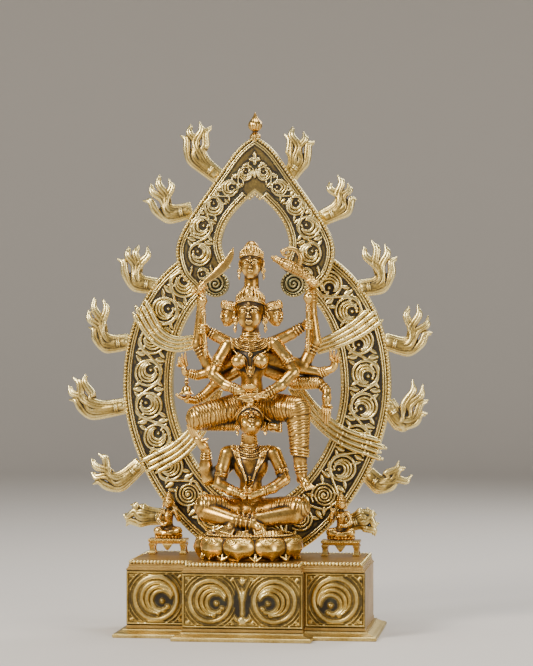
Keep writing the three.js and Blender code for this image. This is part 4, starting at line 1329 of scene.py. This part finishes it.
def armlet(clay, a, b, t):
    """Two rings with a pointed plate standing on them."""
    bangles(clay, a, b, (t, t + 0.13), 0.95)
    a, b = np.array(a, float), np.array(b, float)
    p = a + (b - a) * t
    up = unit((a - b)[:3])
    spot = p[:3] + vec(0, -1, 0) * (p[3] - 0.4)
    clay.chain([(*spot, 3.0), (*(spot + up * 3.4), 2.0), (*(spot + up * 6.8), 0.6)], 0.4)
    clay.ball(spot + vec(0, -3.0, 0), (1.2, 1.0, 1.2))


def dressed_arm(clay, path, blend, plate, marks, tube):
    """An arm from shoulder to wrist, with an armlet on the upper arm and bangles above the wrist."""
    clay.chain(path, blend)
    armlet(clay, path[1], path[2], plate)
    bangles(clay, path[3], path[4], marks, tube)


def digits(clay, palm, tips, across, spread, radius, bend=(0, 0, 0), thumb=None):
    """Four fingers from a palm centre to their tips, and a thumb."""
    palm, across, bend = np.array(palm, float), unit(across), np.array(bend, float)
    for k, tip in enumerate(tips):
        tip = np.array(tip, float)
        base = palm + across * (k - (len(tips) - 1) / 2) * spread + unit(tip - palm) * radius * 1.5
        middle = (base + tip) / 2 + bend
        clay.cord([(*base, radius), (*middle, radius * 0.92), (*tip, radius * 0.68)], radius * 0.25, 6)
    if thumb is not None:
        thumb = np.array(thumb, float)
        middle = palm * 0.45 + thumb * 0.55 + bend * 0.5
        clay.cord([(*palm, radius * 1.3), (*middle, radius * 1.05), (*thumb, radius * 0.75)], radius * 0.5, 5)


def fist(clay, centre, axis, arm, size=1.0):
    """Four fingers wrapped round a shaft, with the palm behind it on the arm's side."""
    centre, axis, arm = np.array(centre, float), unit(axis), unit(arm)
    clay.ball(centre + arm * 2.2 * size + (0, 2.0, 0), (6.2 * size, 5.2 * size, 7.0 * size), 1.2)
    for k in range(4):
        spot = centre + axis * (k - 1.5) * 3.1 * size
        clay.hoop(spot, axis, 4.3 * size, 1.75 * size, 0.35)
    thumb = centre + vec(0, -5.2 * size, 0)
    clay.limb(thumb + axis * 6 * size + arm * 2, thumb + axis * 2 * size - arm * 1.5, 1.8 * size,
              1.4 * size, 0.3)


def foot(clay, ankle, heel, ball, tips, across, size=1.0):
    """A foot from the ankle to five toes."""
    clay.limb(ankle, heel, 5.4 * size, 4.6 * size, 2.0)
    clay.limb(heel, ball, 4.6 * size, 4.6 * size, 2.5)
    clay.limb(ankle, ball, 4.6 * size, 4.2 * size, 2.5)
    ball, across = np.array(ball, float), unit(across)
    for k in range(5):
        base = ball + across * (k - 2) * 2.35 * size
        tip = np.array(tips, float) + across * (k - 2) * 2.7 * size
        r = (2.0 if k == 0 else 1.6) * size
        clay.cord([(*base, r * 1.15), (*((base + tip) / 2), r * 1.05), (*tip, r * 0.95)], 0.35, 4)


def collar(clay, x0, top, rows, wide, deep, gap, radius=0.95):
    """Nested necklace lines laid on the chest below a throat at (x0, top)."""
    for k in range(rows):
        angle = np.linspace(math.radians(188), math.radians(352), 15)
        rx, rz = wide + gap * k, deep + gap * 1.15 * k
        path = [(x0 + rx * math.cos(a), top + rz * math.sin(a)) for a in angle]
        if k % 2:
            clay.lay(path, radius * 0.95, bead=radius * 1.9)
        else:
            clay.lay(path, radius, 0.1)


def goddess():
    """The upper figure: bust with its front pair of arms, then one folded and one hanging leg."""
    clay = Clay((-56, -45, 258), (62, 24, 360), 0.5)
    clay.ball((0, 10, 270), (25, 17, 14))
    clay.limb((0, 8, 276), (0, 5, 300), 15, 11.5, 3.0)
    clay.ball((0, 5, 316), (19.5, 12.5, 21), 4.0)
    clay.limb((-24, 5, 337), (24, 5, 338), 7.5, 7.5, 3.5)
    clay.limb((0, 4, 338), (-1, 2, 357), 10.4, 9.6, 3.0)
    for x, y, z in ((-13.5, -8.5, 317.5), (13.5, -8.5, 318.5)):
        clay.ball((x, y, z), (9.2, 8.6, 9.2), 2.6)
    left = [(-28, 4, 336, 8.8), (-37, 1, 320, 8.0), (-43.5, -4, 302, 7.0), (-27, -18, 290, 6.4),
            (-10, -27, 284.5, 4.6)]
    right = [(28, 4, 338, 8.8), (41, 1, 322, 8.0), (50.5, -4, 305, 7.2), (37, -19, 290, 6.6),
             (19, -29, 279, 4.8)]
    for arm in (left, right):
        dressed_arm(clay, arm, 2.2, 0.28, (0.52, 0.68, 0.84), 1.0)
    clay.limb((-10, -27, 284.5), (-1, -31, 285.5), 4.6, 4.8, 1.5)
    digits(clay, (0, -32, 286), [(11, -36, 288), (12.5, -37, 285.5), (12, -36.5, 283), (10, -36, 281)],
           (0, -0.2, -1), 2.6, 1.75, (0, -1, 0.6), thumb=(5, -34, 291))
    clay.limb((19, -29, 279), (11, -33, 277), 4.6, 5.0, 1.5)
    digits(clay, (9, -34, 277), [(-6, -38, 279), (-7, -38.5, 277), (-6.5, -38, 274.8), (-4, -37, 273)],
           (0, -0.2, -1), 2.5, 1.75, (0, -1.2, -0.6), thumb=(4, -37, 283))

    for z in (351, 348, 345, 342):
        clay.hoop((-0.5, 3, z), (0, 0, 1), 10.0 + (351 - z) * 0.3, 1.0)
    collar(clay, 0, 352, 9, 9.8, 3.0, 2.1, 1.1)
    for side in (-1, 1):
        for shift in (0, 2.4):
            run = [(21 + shift * 0.5, 341), (20.5 + shift * 0.6, 333), (14 + shift, 327),
                   (5.5 + shift, 321.5), (3.2 + shift, 312), (1.6 + shift * 0.5, 303)]
            clay.lay([(side * x, z) for x, z in run], 1.0, 0.1)
    for z, r in ((325.5, 3.0), (310, 2.0), (305, 2.4), (301, 1.6)):
        y = clay.front(0, z)
        clay.ball((0, y, z), (r, 1.5, r * 1.25), 0.2)
    y = clay.front(0, 325.5)
    clay.hoop((0, y - 0.6, 325.5), (0, 1, 0), 2.1, 0.55)
    for z in (281, 277.5):
        clay.lay([(x, z - 0.0035 * x * x) for x in np.linspace(-23, 23, 12)], 1.1, 0.1)
    clay.lay([(x, 279.3 - 0.0035 * x * x) for x in np.linspace(-23, 23, 12)], 0.95, bead=2.0)
    fired(clay, "goddess_body", FIGURE, rounds=18, scale=0.42)

    legs = Clay((-80, -36, 163), (80, 28, 282), 0.62)
    clothed(legs, (-8, 9, 266), (-60, -13, 252), 17.5, 14.8, 3.5, 1.25)
    legs.ball((0, 10, 266), (24, 17, 14), 3.0)
    clothed(legs, (-58, -9, 248), (-22, 5, 245), 11.5, 9.5, 3.4, 1.1)
    legs.chain([(-22, 5, 245, 8.5), (16, 3, 243, 7.0), (26, -3, 243, 5.6)], 1.5)
    bangles(legs, (10, 3, 243.5, 7.2), (26, -3, 243, 5.6), (0.35, 0.6, 0.85))
    foot(legs, (24, -2, 243), (26, 2, 240), (31, -6, 242), (36.5, -11, 242), (0, 0.1, 1), 1.0)
    clothed(legs, (8, 9, 266), (54, -15, 262), 17.5, 15.5, 3.5, 1.3, (0, 0, 0.04))
    clothed(legs, (57, -16, 262), (59, -18, 216), 15.0, 10.8, 3.7, 1.35, (0.05, 0, 0))
    for k, (z, r) in enumerate(((216, 11.6), (212.5, 11.2), (209, 10.4))):
        legs.hoop((59 + 0.2 * k, -18, z), (0.12, 0.1, 1), r - 0.8, 1.5, 0.5)
    legs.chain([(59.5, -18, 212, 8.6), (60, -18, 198, 7.4), (61.5, -18, 188, 6.2)], 1.0)
    bangles(legs, (60, -18, 198, 7.2), (61.5, -18, 188, 6.4), (0.15, 0.5, 0.85), 1.1)
    foot(legs, (61.5, -17.5, 186), (60, -13, 180.5), (67, -24, 175.5), (72.5, -29.5, 171),
         (0.75, 0.5, 0.15), 1.0)
    for side in (-1, 1):
        for k in range(4):
            run = [(side * (4 + 3 * k), -9 - k, 268 - 3 * k), (side * (12 + 4 * k), -8, 258 - 3 * k),
                   (side * (20 + 4 * k), -4, 256 - 2 * k)]
            legs.cord([(*p, 1.4) for p in run], 0.5)
    fired(legs, "goddess_legs", FIGURE, rounds=18, scale=0.5, node="goddess_body")


def lower_figure():
    """The lower figure: chest, joined hands and one raised rear arm, then the crossed legs."""
    clay = Clay((-82, -36, 150), (52, 24, 246), 0.55)
    clay.ball((0, 0, 150), (22, 15, 14))
    clay.limb((0, 0, 155), (0, 0, 178), 15, 12.5, 3.0)
    clay.ball((0, -1, 196), (20.5, 13, 20), 4.0)
    clay.limb((-24, -1, 211), (24, -1, 211), 8.5, 8.5, 3.5)
    clay.limb((0, -4, 212), (-1, -12, 233), 9.5, 7.8, 2.5)
    left = [(-28, -2, 210, 8.6), (-33, -4, 192, 7.6), (-36, -8, 174, 7.0), (-22, -20, 168, 6.4),
            (-10, -28, 164.5, 4.8)]
    right = [(28, -2, 210, 8.6), (35, -4, 195, 7.6), (40, -8, 180, 7.0), (28, -20, 171, 6.4),
             (15, -28, 166, 4.8)]
    for arm in (left, right):
        dressed_arm(clay, arm, 2.0, 0.35, (0.6, 0.8), 0.9)
    rear = [(-24, 6, 200, 9), (-42, 8, 184, 9), (-51, 7, 180, 8.4), (-54, 4, 194, 7.6), (-53, 0, 212, 5.2)]
    clay.chain(rear, 2.5)
    bangles(clay, rear[3], rear[4], (0.55, 0.72, 0.89), 1.0)
    clay.chain([(-53, 0, 212, 5.0), (-56, -3, 219, 5.8), (-62, -6, 226, 4.8)], 1.5)
    digits(clay, (-61, -6, 224.5), [(-74, -9, 243), (-72, -11, 246), (-69, -12, 245), (-66, -12, 241)],
           (0.7, -0.5, 0.3), 2.4, 1.7, (-1, -0.6, -1.2), thumb=(-50, -10, 227))
    for side, wrist in ((-1, left[-1]), (1, right[-1])):
        clay.limb(wrist[:3], (side * 6, -31, 163), 4.4, 4.8, 1.5)
        tips = [(side * 1.5, -35, 170), (side * 1.2, -36, 166.5), (side * 1.4, -36, 163),
                (side * 2.0, -35, 160)]
        digits(clay, (side * 6, -31, 164.5), tips, (0, 0, -1), 2.7, 1.6, (0, -1.2, 0))
    for z in (230.5, 227.5, 224.5, 221.5, 218.5):
        clay.hoop((-0.8, -10.6 + (230 - z) * 0.4, z), (0, 0.35, 1), 8.6 + (230 - z) * 0.06, 1.0)
    collar(clay, 0, 224, 7, 9.5, 4, 2.3, 1.15)
    for side in (-1, 1):
        for shift in (0, 3.0, 6.0):
            run = [(19 - shift * 0.9, 214 - shift * 0.3), (16.5 - shift * 0.9, 205 - shift * 0.4),
                   (11 - shift * 0.6, 195 - shift * 0.8), (5.4 - shift * 0.2, 186 - shift),
                   (2.6, 176 - shift * 1.5)]
            clay.lay([(side * x, z) for x, z in run], 1.4, 0.1)
    for z in np.linspace(183, 160, 9):
        y = clay.front(0, z)
        if y is not None:
            clay.ball((0, y, z), (1.5, 1.4, 1.6))
    fired(clay, "lower_body", FIGURE, rounds=18, scale=0.45, node="lower_figure")

    legs = Clay((-72, -56, 115.6), (80, 26, 170), 0.6)
    legs.ball((0, -2, 142), (27, 19, 17))
    for side, knee in ((-1, (-50, -22, 149)), (1, (58, -22, 148))):
        hip = (side * 13, -4, 142)
        middle = tuple(np.array(hip) * 0.5 + np.array(knee) * 0.5)
        legs.limb(hip, middle, 16.5, 15, 2.0)
        clothed(legs, middle, knee, 15.2, 14.0, 3.6, 1.5)
    shins = (((-47, -26, 142), (-14, -40, 134), (8, -44, 131)),
             ((54, -26, 141), (12, -37, 135), (-12, -40, 131)))
    for knee, middle, ankle in shins:
        legs.limb(knee, middle, 12, 8.5, 2.0)
        legs.limb(middle, ankle, 8.5, 6.2, 1.5)
        bangles(legs, (*middle, 8.4), (*ankle, 6.4), (0.2, 0.42, 0.7, 0.9), 1.0)
    foot(legs, (8, -44, 131), (4, -42, 127), (14, -47, 127.5), (17.5, -50, 120.5), (0.96, 0.1, 0.3), 1.05)
    foot(legs, (-12, -40, 131), (-8, -38, 126), (-19, -44, 127), (-23, -49, 120), (-0.96, 0.1, 0.3), 1.05)

    def mat(x, y, z):
        """The oval cushion below the crossed legs, with a finely fluted edge."""
        around = np.hypot(x, (y - LOTUS_Y) / LOTUS_SQUASH)
        angle = np.arctan2(y - LOTUS_Y, x)
        edge = 40.0 + 0.35 * np.cos(angle * 46) - 0.25 * (z - 116)
        return np.maximum((around - edge) * 0.8, np.maximum(z - 122.5, 115.7 - z))

    legs.shape((-44, -52, 115.6), (44, 20, 123), mat, 3.5)
    for k in range(7):
        run = [(-26 + 7 * k, -28 - 2.2 * math.cos(k - 3), 146), (-24 + 6.6 * k, -37, 139),
               (-20 + 6 * k, -42, 128)]
        legs.cord([(*p, 1.5) for p in run], 0.6)
    legs.trim(lambda x, y, z: 115.7 - z)
    fired(legs, "lower_legs", FIGURE, rounds=18, scale=0.5, node="lower_figure")


def staff(word, top, foot_end):
    """A slender rod with a knobbed head and a pointed tip, from foot_end to top."""
    top, end = np.array(top, float), np.array(foot_end, float)
    low, high = np.minimum(top, end) - 8, np.maximum(top, end) + 8
    clay = Clay(low, high, 0.42)

    def along(share):
        """The point that lies this share of the way up the staff."""
        return end + (top - end) * share

    stops = ((0, 1.2), (0.04, 2.6), (0.1, 2.9), (0.12, 2.3), (0.5, 2.5), (0.72, 2.6), (0.8, 2.4), (0.84, 4.8),
             (0.89, 5.4), (0.95, 3.0), (1.0, 0.8))
    clay.chain([(*along(t), r) for t, r in stops], 0.5)
    for t in (0.1, 0.16, 0.22, 0.66, 0.7, 0.75, 0.79):
        clay.hoop(along(t), top - end, 2.7, 0.75, 0.1)
    for k in range(8):
        angle = math.radians(45 * k)
        side = vec(math.cos(angle), math.sin(angle), 0)
        clay.cord([(*(along(0.82) + side * 3.6), 0.8), (*(along(0.88) + side * 5.0), 0.9),
                   (*(along(0.97) + side), 0.5)])
    fired(clay, f"staff_{word}", FIGURE, rounds=10)


def rear_arms_left():
    """Four arms: gripping the staff, lifted with the sword, an upright sign, and a level hand."""
    clay = Clay((-92, -6, 262), (-10, 34, 414), 0.5)
    grip = [(-22, 12, 336, 8), (-44, 15, 348, 6.8), (-55, 12, 354, 4.8)]
    lifted = [(-18, 14, 322, 9), (-50, 18, 307, 7.8), (-66, 20, 338, 6.8), (-62, 19, 372, 5.6),
              (-61, 15, 400, 4.6)]
    sign = [(-18, 14, 318, 8.5), (-50, 17, 305, 7.2), (-66, 17, 301, 5.6), (-79, 13, 304, 4.4)]
    tray = [(-16, 14, 308, 8.5), (-44, 17, 291, 7.2), (-58, 16, 277, 5.8), (-68, 12, 271, 4.5)]
    for arm in (grip, lifted, sign, tray):
        clay.chain(arm, 2.0)
    bangles(clay, grip[1], grip[2], (0.35, 0.6, 0.85), 1.0)
    bangles(clay, lifted[1], lifted[2], (0.6, 0.72, 0.84), 1.0)
    bangles(clay, lifted[3], lifted[4], (0.5, 0.65, 0.8), 1.0)
    bangles(clay, sign[2], sign[3], (0.1, 0.3, 0.5, 0.7), 0.95)
    bangles(clay, tray[2], tray[3], (0.1, 0.35, 0.6, 0.85), 1.0)
    fist(clay, (-58, 6, 356), (0.06, 0, 1), (1, 0, -0.3), 0.95)
    fist(clay, (-61, 9, 404), (-0.6, 0, -0.7), (0, 0.3, -1), 0.95)
    clay.ball((-81, 12, 308), (3.4, 4.6, 6.0), 1.5)
    digits(clay, (-81, 11, 311), [(-79, 8, 328), (-83, 7, 326), (-87, 5, 318), (-88, 4, 313)],
           (-0.8, -0.5, 0.1), 2.3, 1.6, (-0.8, -1, 0.8), thumb=(-86, 5, 322))
    clay.limb((-68, 12, 271), (-76, 8, 273), 4.4, 5.2, 1.5)
    digits(clay, (-77, 7, 274), [(-89, 4, 279), (-89, 1, 278), (-87, -2, 277), (-84, -4, 276)],
           (0.3, -0.9, 0), 2.4, 1.6, (0, 0, -1.4), thumb=(-74, 0, 279))
    fired(clay, "rear_arms_left", FIGURE, rounds=16, scale=0.42)


def rear_arms_right():
    """Four arms: gripping the staff, lifted with the horn, an upright sign, and a hand that points down."""
    clay = Clay((10, -6, 240), (108, 34, 420), 0.52)
    grip = [(22, 12, 338, 8), (46, 15, 350, 6.8), (62, 12, 360, 4.8)]
    lifted = [(18, 14, 324, 9), (60, 18, 312, 7.8), (74, 20, 342, 6.8), (70, 19, 376, 5.6),
              (71, 15, 404, 4.6)]
    sign = [(18, 14, 318, 8.5), (58, 17, 309, 7.2), (80, 17, 304, 5.8), (94, 13, 309, 4.4)]
    open_down = [(16, 14, 308, 8.5), (52, 18, 292, 7.6), (78, 17, 293, 6.2), (88, 12, 284, 4.6)]
    for arm in (grip, lifted, sign, open_down):
        clay.chain(arm, 2.0)
    bangles(clay, grip[1], grip[2], (0.35, 0.55, 0.75), 1.0)
    bangles(clay, lifted[1], lifted[2], (0.55, 0.67, 0.8), 1.0)
    bangles(clay, lifted[3], lifted[4], (0.5, 0.65, 0.8), 1.0)
    bangles(clay, sign[2], sign[3], (0.1, 0.3, 0.5), 0.95)
    clothed(clay, (50, 17, 292), (76, 16, 293), 8.2, 7.6, 3.2, 1.1, (0.1, 0, 0.1))
    bangles(clay, open_down[2], open_down[3], (0.6, 0.85), 1.0)
    fist(clay, (67, 6, 361), (0.02, 0, 1), (-1, 0, -0.3), 0.95)
    fist(clay, (71, 9, 411), (-0.6, 0, 0.4), (0, 0.3, -1), 0.95)
    clay.ball((97, 12, 314), (4.6, 3.8, 6.4), 1.5)
    digits(clay, (97, 11, 317), [(93, 8, 332), (97.5, 7, 331), (102, 6, 328), (104, 6, 322)],
           (0.9, -0.2, -0.2), 2.4, 1.6, (0, -1, 0.6), thumb=(93, 5, 322))
    clay.chain([(88, 12, 284, 4.6), (88, 9, 275, 5.4), (88, 8, 268, 4.6)], 1.5)
    digits(clay, (88, 8, 268), [(84, 7, 248), (86.6, 6.5, 245.5), (89.4, 6.5, 246), (92, 7, 249)], (1, 0, 0),
           2.5, 1.55, (0, -0.8, 0), thumb=(95, 4, 264))
    fired(clay, "rear_arms_right", FIGURE, rounds=16, scale=0.42)


def held_things():
    blade = Clay((-74, 3, 398), (-18, 13, 456), 0.4)
    blade.cord([(-56, 8, 411, 2.4), (-46, 8, 418, 4.2), (-35, 8, 428, 5.2), (-27, 8, 438, 4.2),
                (-23.5, 8, 446, 2.4), (-22, 8, 451, 0.7)])
    edge = [(-56, 412.5), (-46, 420.5), (-36.5, 430), (-28.5, 440), (-23.5, 449)]
    blade.trim(lambda x, y, z: np.abs(y - 8) - 1.9)
    blade.lay([(x - 0.6, z + 0.6) for x, z in edge], 0.6)
    blade.limb((-57, 8, 410), (-69, 8, 399), 2.3, 2.1)
    blade.limb((-61, 8, 411.5), (-53, 8, 404.5), 1.6, 1.6)
    blade.ball((-69.5, 8, 399.5), (3, 3, 3))
    fired(blade, "sword", FIGURE, rounds=10)

    horn = Clay((20, 0, 404), (82, 18, 462), 0.42)
    stations = [(77, 8, 410, 2.4), (66, 8, 417, 4.6), (54, 8, 425, 7.0), (42, 8, 431, 6.6), (30, 8, 437, 3.6),
                (25, 8, 439.5, 2.2)]
    for a, b in zip(stations[:-1], stations[1:]):
        ridges = folds(np.subtract(b[:3], a[:3]), 2.8, 0.8)
        horn.limb(a, b, a[3], b[3], 0.8, bumps=ridges)
    horn.hoop((27, 8, 438.5), (-0.87, 0, 0.45), 3.2, 1.0)
    horn.cord([(56, 6, 429, 2.6), (58, 5, 439, 2.6), (53, 5, 448, 2.4), (44, 5, 450, 2.2), (37, 5, 446, 2.0),
               (40, 5, 442, 1.6), (46, 5, 443, 1.4)], 0.3)
    horn.ball((37, 4.5, 447), (3.2, 2.6, 2.4), 0.4)
    fired(horn, "conch", FIGURE, rounds=10)

    at = (-77, 4, 278.5)
    bell = [(0.6, 0), (8.2, 0.2), (8.6, 1.4), (6.6, 3.4), (5.2, 6.4), (4.4, 9), (2.0, 10.4), (1.8, 13),
            (2.8, 14.6), (1.6, 16.2), (2.4, 18), (1.4, 20.6), (0.2, 21.6)]
    turned("bell", smooth_path(bell, 6), at, FIGURE, 40)
    bowl = [(0.4, -5), (4, -4.6), (8.6, -1), (9.5, 2.6), (9.3, 3.4), (8.5, 3.2), (7.2, -0.4), (3.5, -3.0),
            (0.3, -3.3)]
    turned("cup", smooth_path(bowl, 6), (3, -37, 288), FIGURE)


# ---- Attendants on benches ----------------------------------------------------------------------

ATTENDANT_X, ATTENDANT_Y, BENCH_TOP = 103.0, 33.0, 107.3


def attendant(side, word):
    """A small cross-legged figure on a beaded cushion, one hand raised and one resting."""
    x0, y0, seat = side * ATTENDANT_X, ATTENDANT_Y, BENCH_TOP
    clay = Clay((x0 - 19, y0 - 15, seat - 0.2), (x0 + 19, y0 + 11, seat + 57), 0.36)
    lift = 3.0

    def at(x, y, z, r=None):
        spot = (x0 + side * x, y0 + y, seat + lift + z * 0.95)
        return spot if r is None else (*spot, r)

    clay.limb((x0 - 8, y0, seat + 2.2), (x0 + 8, y0, seat + 2.2), 6.5, 6.5)
    clay.ball((x0, y0, seat + 2.4), (16.5, 9.6, 4.2), 1.0)
    for k in range(22):
        turn = 2 * math.pi * k / 22
        clay.ball((x0 + 15.4 * math.cos(turn), y0 + 8.9 * math.sin(turn), seat + 2.6), (1.5, 1.5, 2.5), 0.1)
    clay.ball(at(0, 0, 6), (10, 8, 6.5))
    for way in (-1, 1):
        clothed(clay, at(way * 3, 0, 6), at(way * 12, -5, 5.8), 6.2, 5.2, 2.0, 0.6, blend=1.0)
        clay.limb(at(way * 11, -6, 4.6), at(-way * 2, -9, 3.2), 4.2, 2.8, 1.0)
        clay.ball(at(-way * 4.5, -9.5, 2.4), (2.8, 2.2, 1.8), 0.6)
    clay.chain([at(0, 0.5, 8, 6.6), at(0, 0.5, 17, 4.6), at(0, 0, 26, 6.2)], 1.6)
    clay.limb(at(-7, 0, 29), at(7, 0, 29), 3.4, 3.4, 1.5)
    clay.limb(at(0, 0, 30), at(0, -0.5, 35), 3.0, 2.8, 1.0)
    raised = [at(-8, 0, 29, 3.0), at(-12.5, -2, 20, 2.6), at(-11, -7, 27, 2.1), at(-9.5, -8.5, 32, 2.0)]
    resting = [at(8, 0, 29, 3.0), at(12, -1.5, 19, 2.6), at(6, -8, 14, 2.0), at(2, -9.5, 14, 2.0)]
    for arm in (raised, resting):
        clay.chain(arm, 0.9)
        bangles(clay, arm[0], arm[1], (0.5,), 0.45)
        bangles(clay, arm[1], arm[2], (0.7, 0.85), 0.45)
    for k in range(4):
        clay.limb(at(-11 + 1.1 * k, -9, 32), at(-11.4 + 1.3 * k, -9.6, 36.5 - 0.4 * abs(k - 1)), 0.75, 0.55,
                  0.15)
    clay.ball(at(1.5, -10.5, 15.5), (3.0, 2.4, 1.8), 0.4)
    collar(clay, x0, seat + 34, 3, 4.6, 4.0, 1.6, 0.5)
    clay.ball(at(0, -1, 41), (5.8, 6.2, 7.0), 0.8)
    clay.ball(at(0, 1, 44), (6.3, 6.2, 5.4), 0.6)
    for way in (-1, 1):
        clay.ball(at(way * 2.2, -6.2, 41.6), (1.5, 1.0, 0.9), 0.2, carve=True)
        clay.ball(at(way * 2.2, -6.0, 41.4), (1.2, 0.9, 0.7), 0.1)
        clay.cord([(*at(way * 0.8, -7.1, 43.2), 0.3), (*at(way * 2.4, -7.0, 44.0), 0.3),
                   (*at(way * 4.0, -6.0, 43.2), 0.3)])
        clay.ball(at(way * 6.2, 0, 39.8), (1.2, 1.8, 3.0), 0.3)
        clay.ball(at(way * 6.4, -0.4, 35.8), (1.3, 1.3, 1.5), 0.1)
    clay.chain([at(0, -6.6, 42.4, 0.5), at(0, -7.9, 39.4, 0.9)], 0.3)
    clay.cord([(*at(-1.7, -6.5, 37.0), 0.4), (*at(0, -7.2, 37.2), 0.55), (*at(1.7, -6.5, 37.0), 0.4)], 0.15)
    clay.hoop(at(0, 0.5, 45.6), (0, 0.2, 1), 6.2, 0.7)
    clay.chain([at(0, 1, 47, 4.6), at(0, 1, 51, 2.8), at(0, 1, 54.5, 1.2)], 0.8)
    for z, r in ((49, 4.0), (51.6, 2.8)):
        clay.hoop(at(0, 1, z), (0, 0, 1), r, 0.5)
    clay.trim(lambda x, y, z: seat - z)
    fired(clay, f"attendant_{word}", FIGURE, rounds=10, scale=0.28)


def rectangle(x0, y0, half, depth, z):
    return [(x0 - half, y0 - depth, z), (x0 + half, y0 - depth, z), (x0 + half, y0 + depth, z),
            (x0 - half, y0 + depth, z)]


def bench(side, word):
    x0, y0 = side * ATTENDANT_X, ATTENDANT_Y

    def block(name, cx, cy, profile, bevel):
        """A soft-edged rectangular body from (half width, half depth, height) rows."""
        levels = [rectangle(cx, cy, half, depth, z) for half, depth, z in profile]
        ring_stack(f"bench_{name}", levels, BENCH, bevel, True, f"bench_{word}")

    seat = [(20.5, 9.4, 100.9), (21.6, 10.2, 101.4), (21.8, 10.4, 102.2), (21.0, 9.8, 102.7),
            (22.6, 10.7, 103.2), (23.0, 11.0, 104.0), (23.0, 11.0, 105.8), (22.4, 10.5, 106.9)]
    leg = [(4.2, 3.2, 88.4), (4.2, 3.2, 90.0), (3.4, 2.5, 91.0), (2.7, 2.1, 94.0), (3.0, 2.3, 97.5),
           (3.9, 3.0, 99.5), (3.9, 3.0, 101.2)]
    apron = [(1.2, 1.0, 93.4), (4.2, 1.6, 97.5), (6.0, 1.4, 100.4), (7.5, 1.0, 101.2)]
    block(f"seat_{word}", x0, y0, seat, 0.18)
    for across in (-1, 1):
        for along in (-1, 1):
            name = f"leg_{word}_{across + 2}{along + 2}"
            block(name, x0 + across * 18.6, y0 + along * 7.6, leg, 0.15)
    block(f"apron_{word}", x0, y0 - 8.8, apron, 0.15)
    row = np.array([(x0 - 21, y0 - 10.4, 104.9), (x0 + 21, y0 - 10.4, 104.9)])
    bead_row(f"bench_beads_{word}", [row], 0.95, 2.0, BENCH, node=f"bench_{word}")


# ---- Assembly -----------------------------------------------------------------------------------

SCARVES = {
    "upper_left": [(-74, 340), (-98, 338), (-120, 350), (-139, 381)],
    "upper_right": [(74, 334), (98, 343), (122, 356), (141, 371)],
    "lower_left": [(-47, 284), (-64, 244), (-90, 213), (-128, 191)],
    "lower_right": [(46, 288), (72, 254), (104, 229), (150, 213)],
}
FIXINGS = ("ring_bolt_left", "ring_bolt_right", "ring_washer_left", "ring_washer_right", "lotus_bolt",
           "lotus_washer")


def heads():
    model_head("goddess_head", (-1, 1, 375.2), 16.8, step=0.36, crown=1.95, neck=(0.58, 1.2), tall=1.25)
    model_head("upper_head", (0, 4, 431.8), 13.7, step=0.32, crown=1.5, neck=(0.6, 1.9))
    for side, word in SIDES:
        model_head(f"side_head_{word}", (side * 26.5, 9, 372.5), 10.4, yaw=side * 58, step=0.34,
                   crown=1.3, pendants=False, neck=None, spire=False)
    model_head("lower_head", (2, -20, 246.5), 15.2, yaw=12, pitch=-48, step=0.36, crown=1.3,
               neck=None, spire=False)


def assemble():
    plinth()
    panels()
    ring()
    crest()
    for side, word in SIDES:
        volute(side, word)
        attendant(side, word)
        bench(side, word)
    finial()
    for word, (root, palm, tips) in FLAMES.items():
        flame(word, root, palm, tips)
    for word, run in SCARVES.items():
        scarf(word, run)
    lotus()
    lower_figure()
    goddess()
    heads()
    rear_arms_left()
    rear_arms_right()
    staff("left", (-59, 6, 399), (-54, 6, 322))
    staff("right", (67, 6, 402), (66, 6, 328))
    held_things()
    fixing_steel = steel("fixing steel")
    for node in FIXINGS:
        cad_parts[node].data.materials.clear()
        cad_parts[node].data.materials.append(fixing_steel)


stage()
assemble()
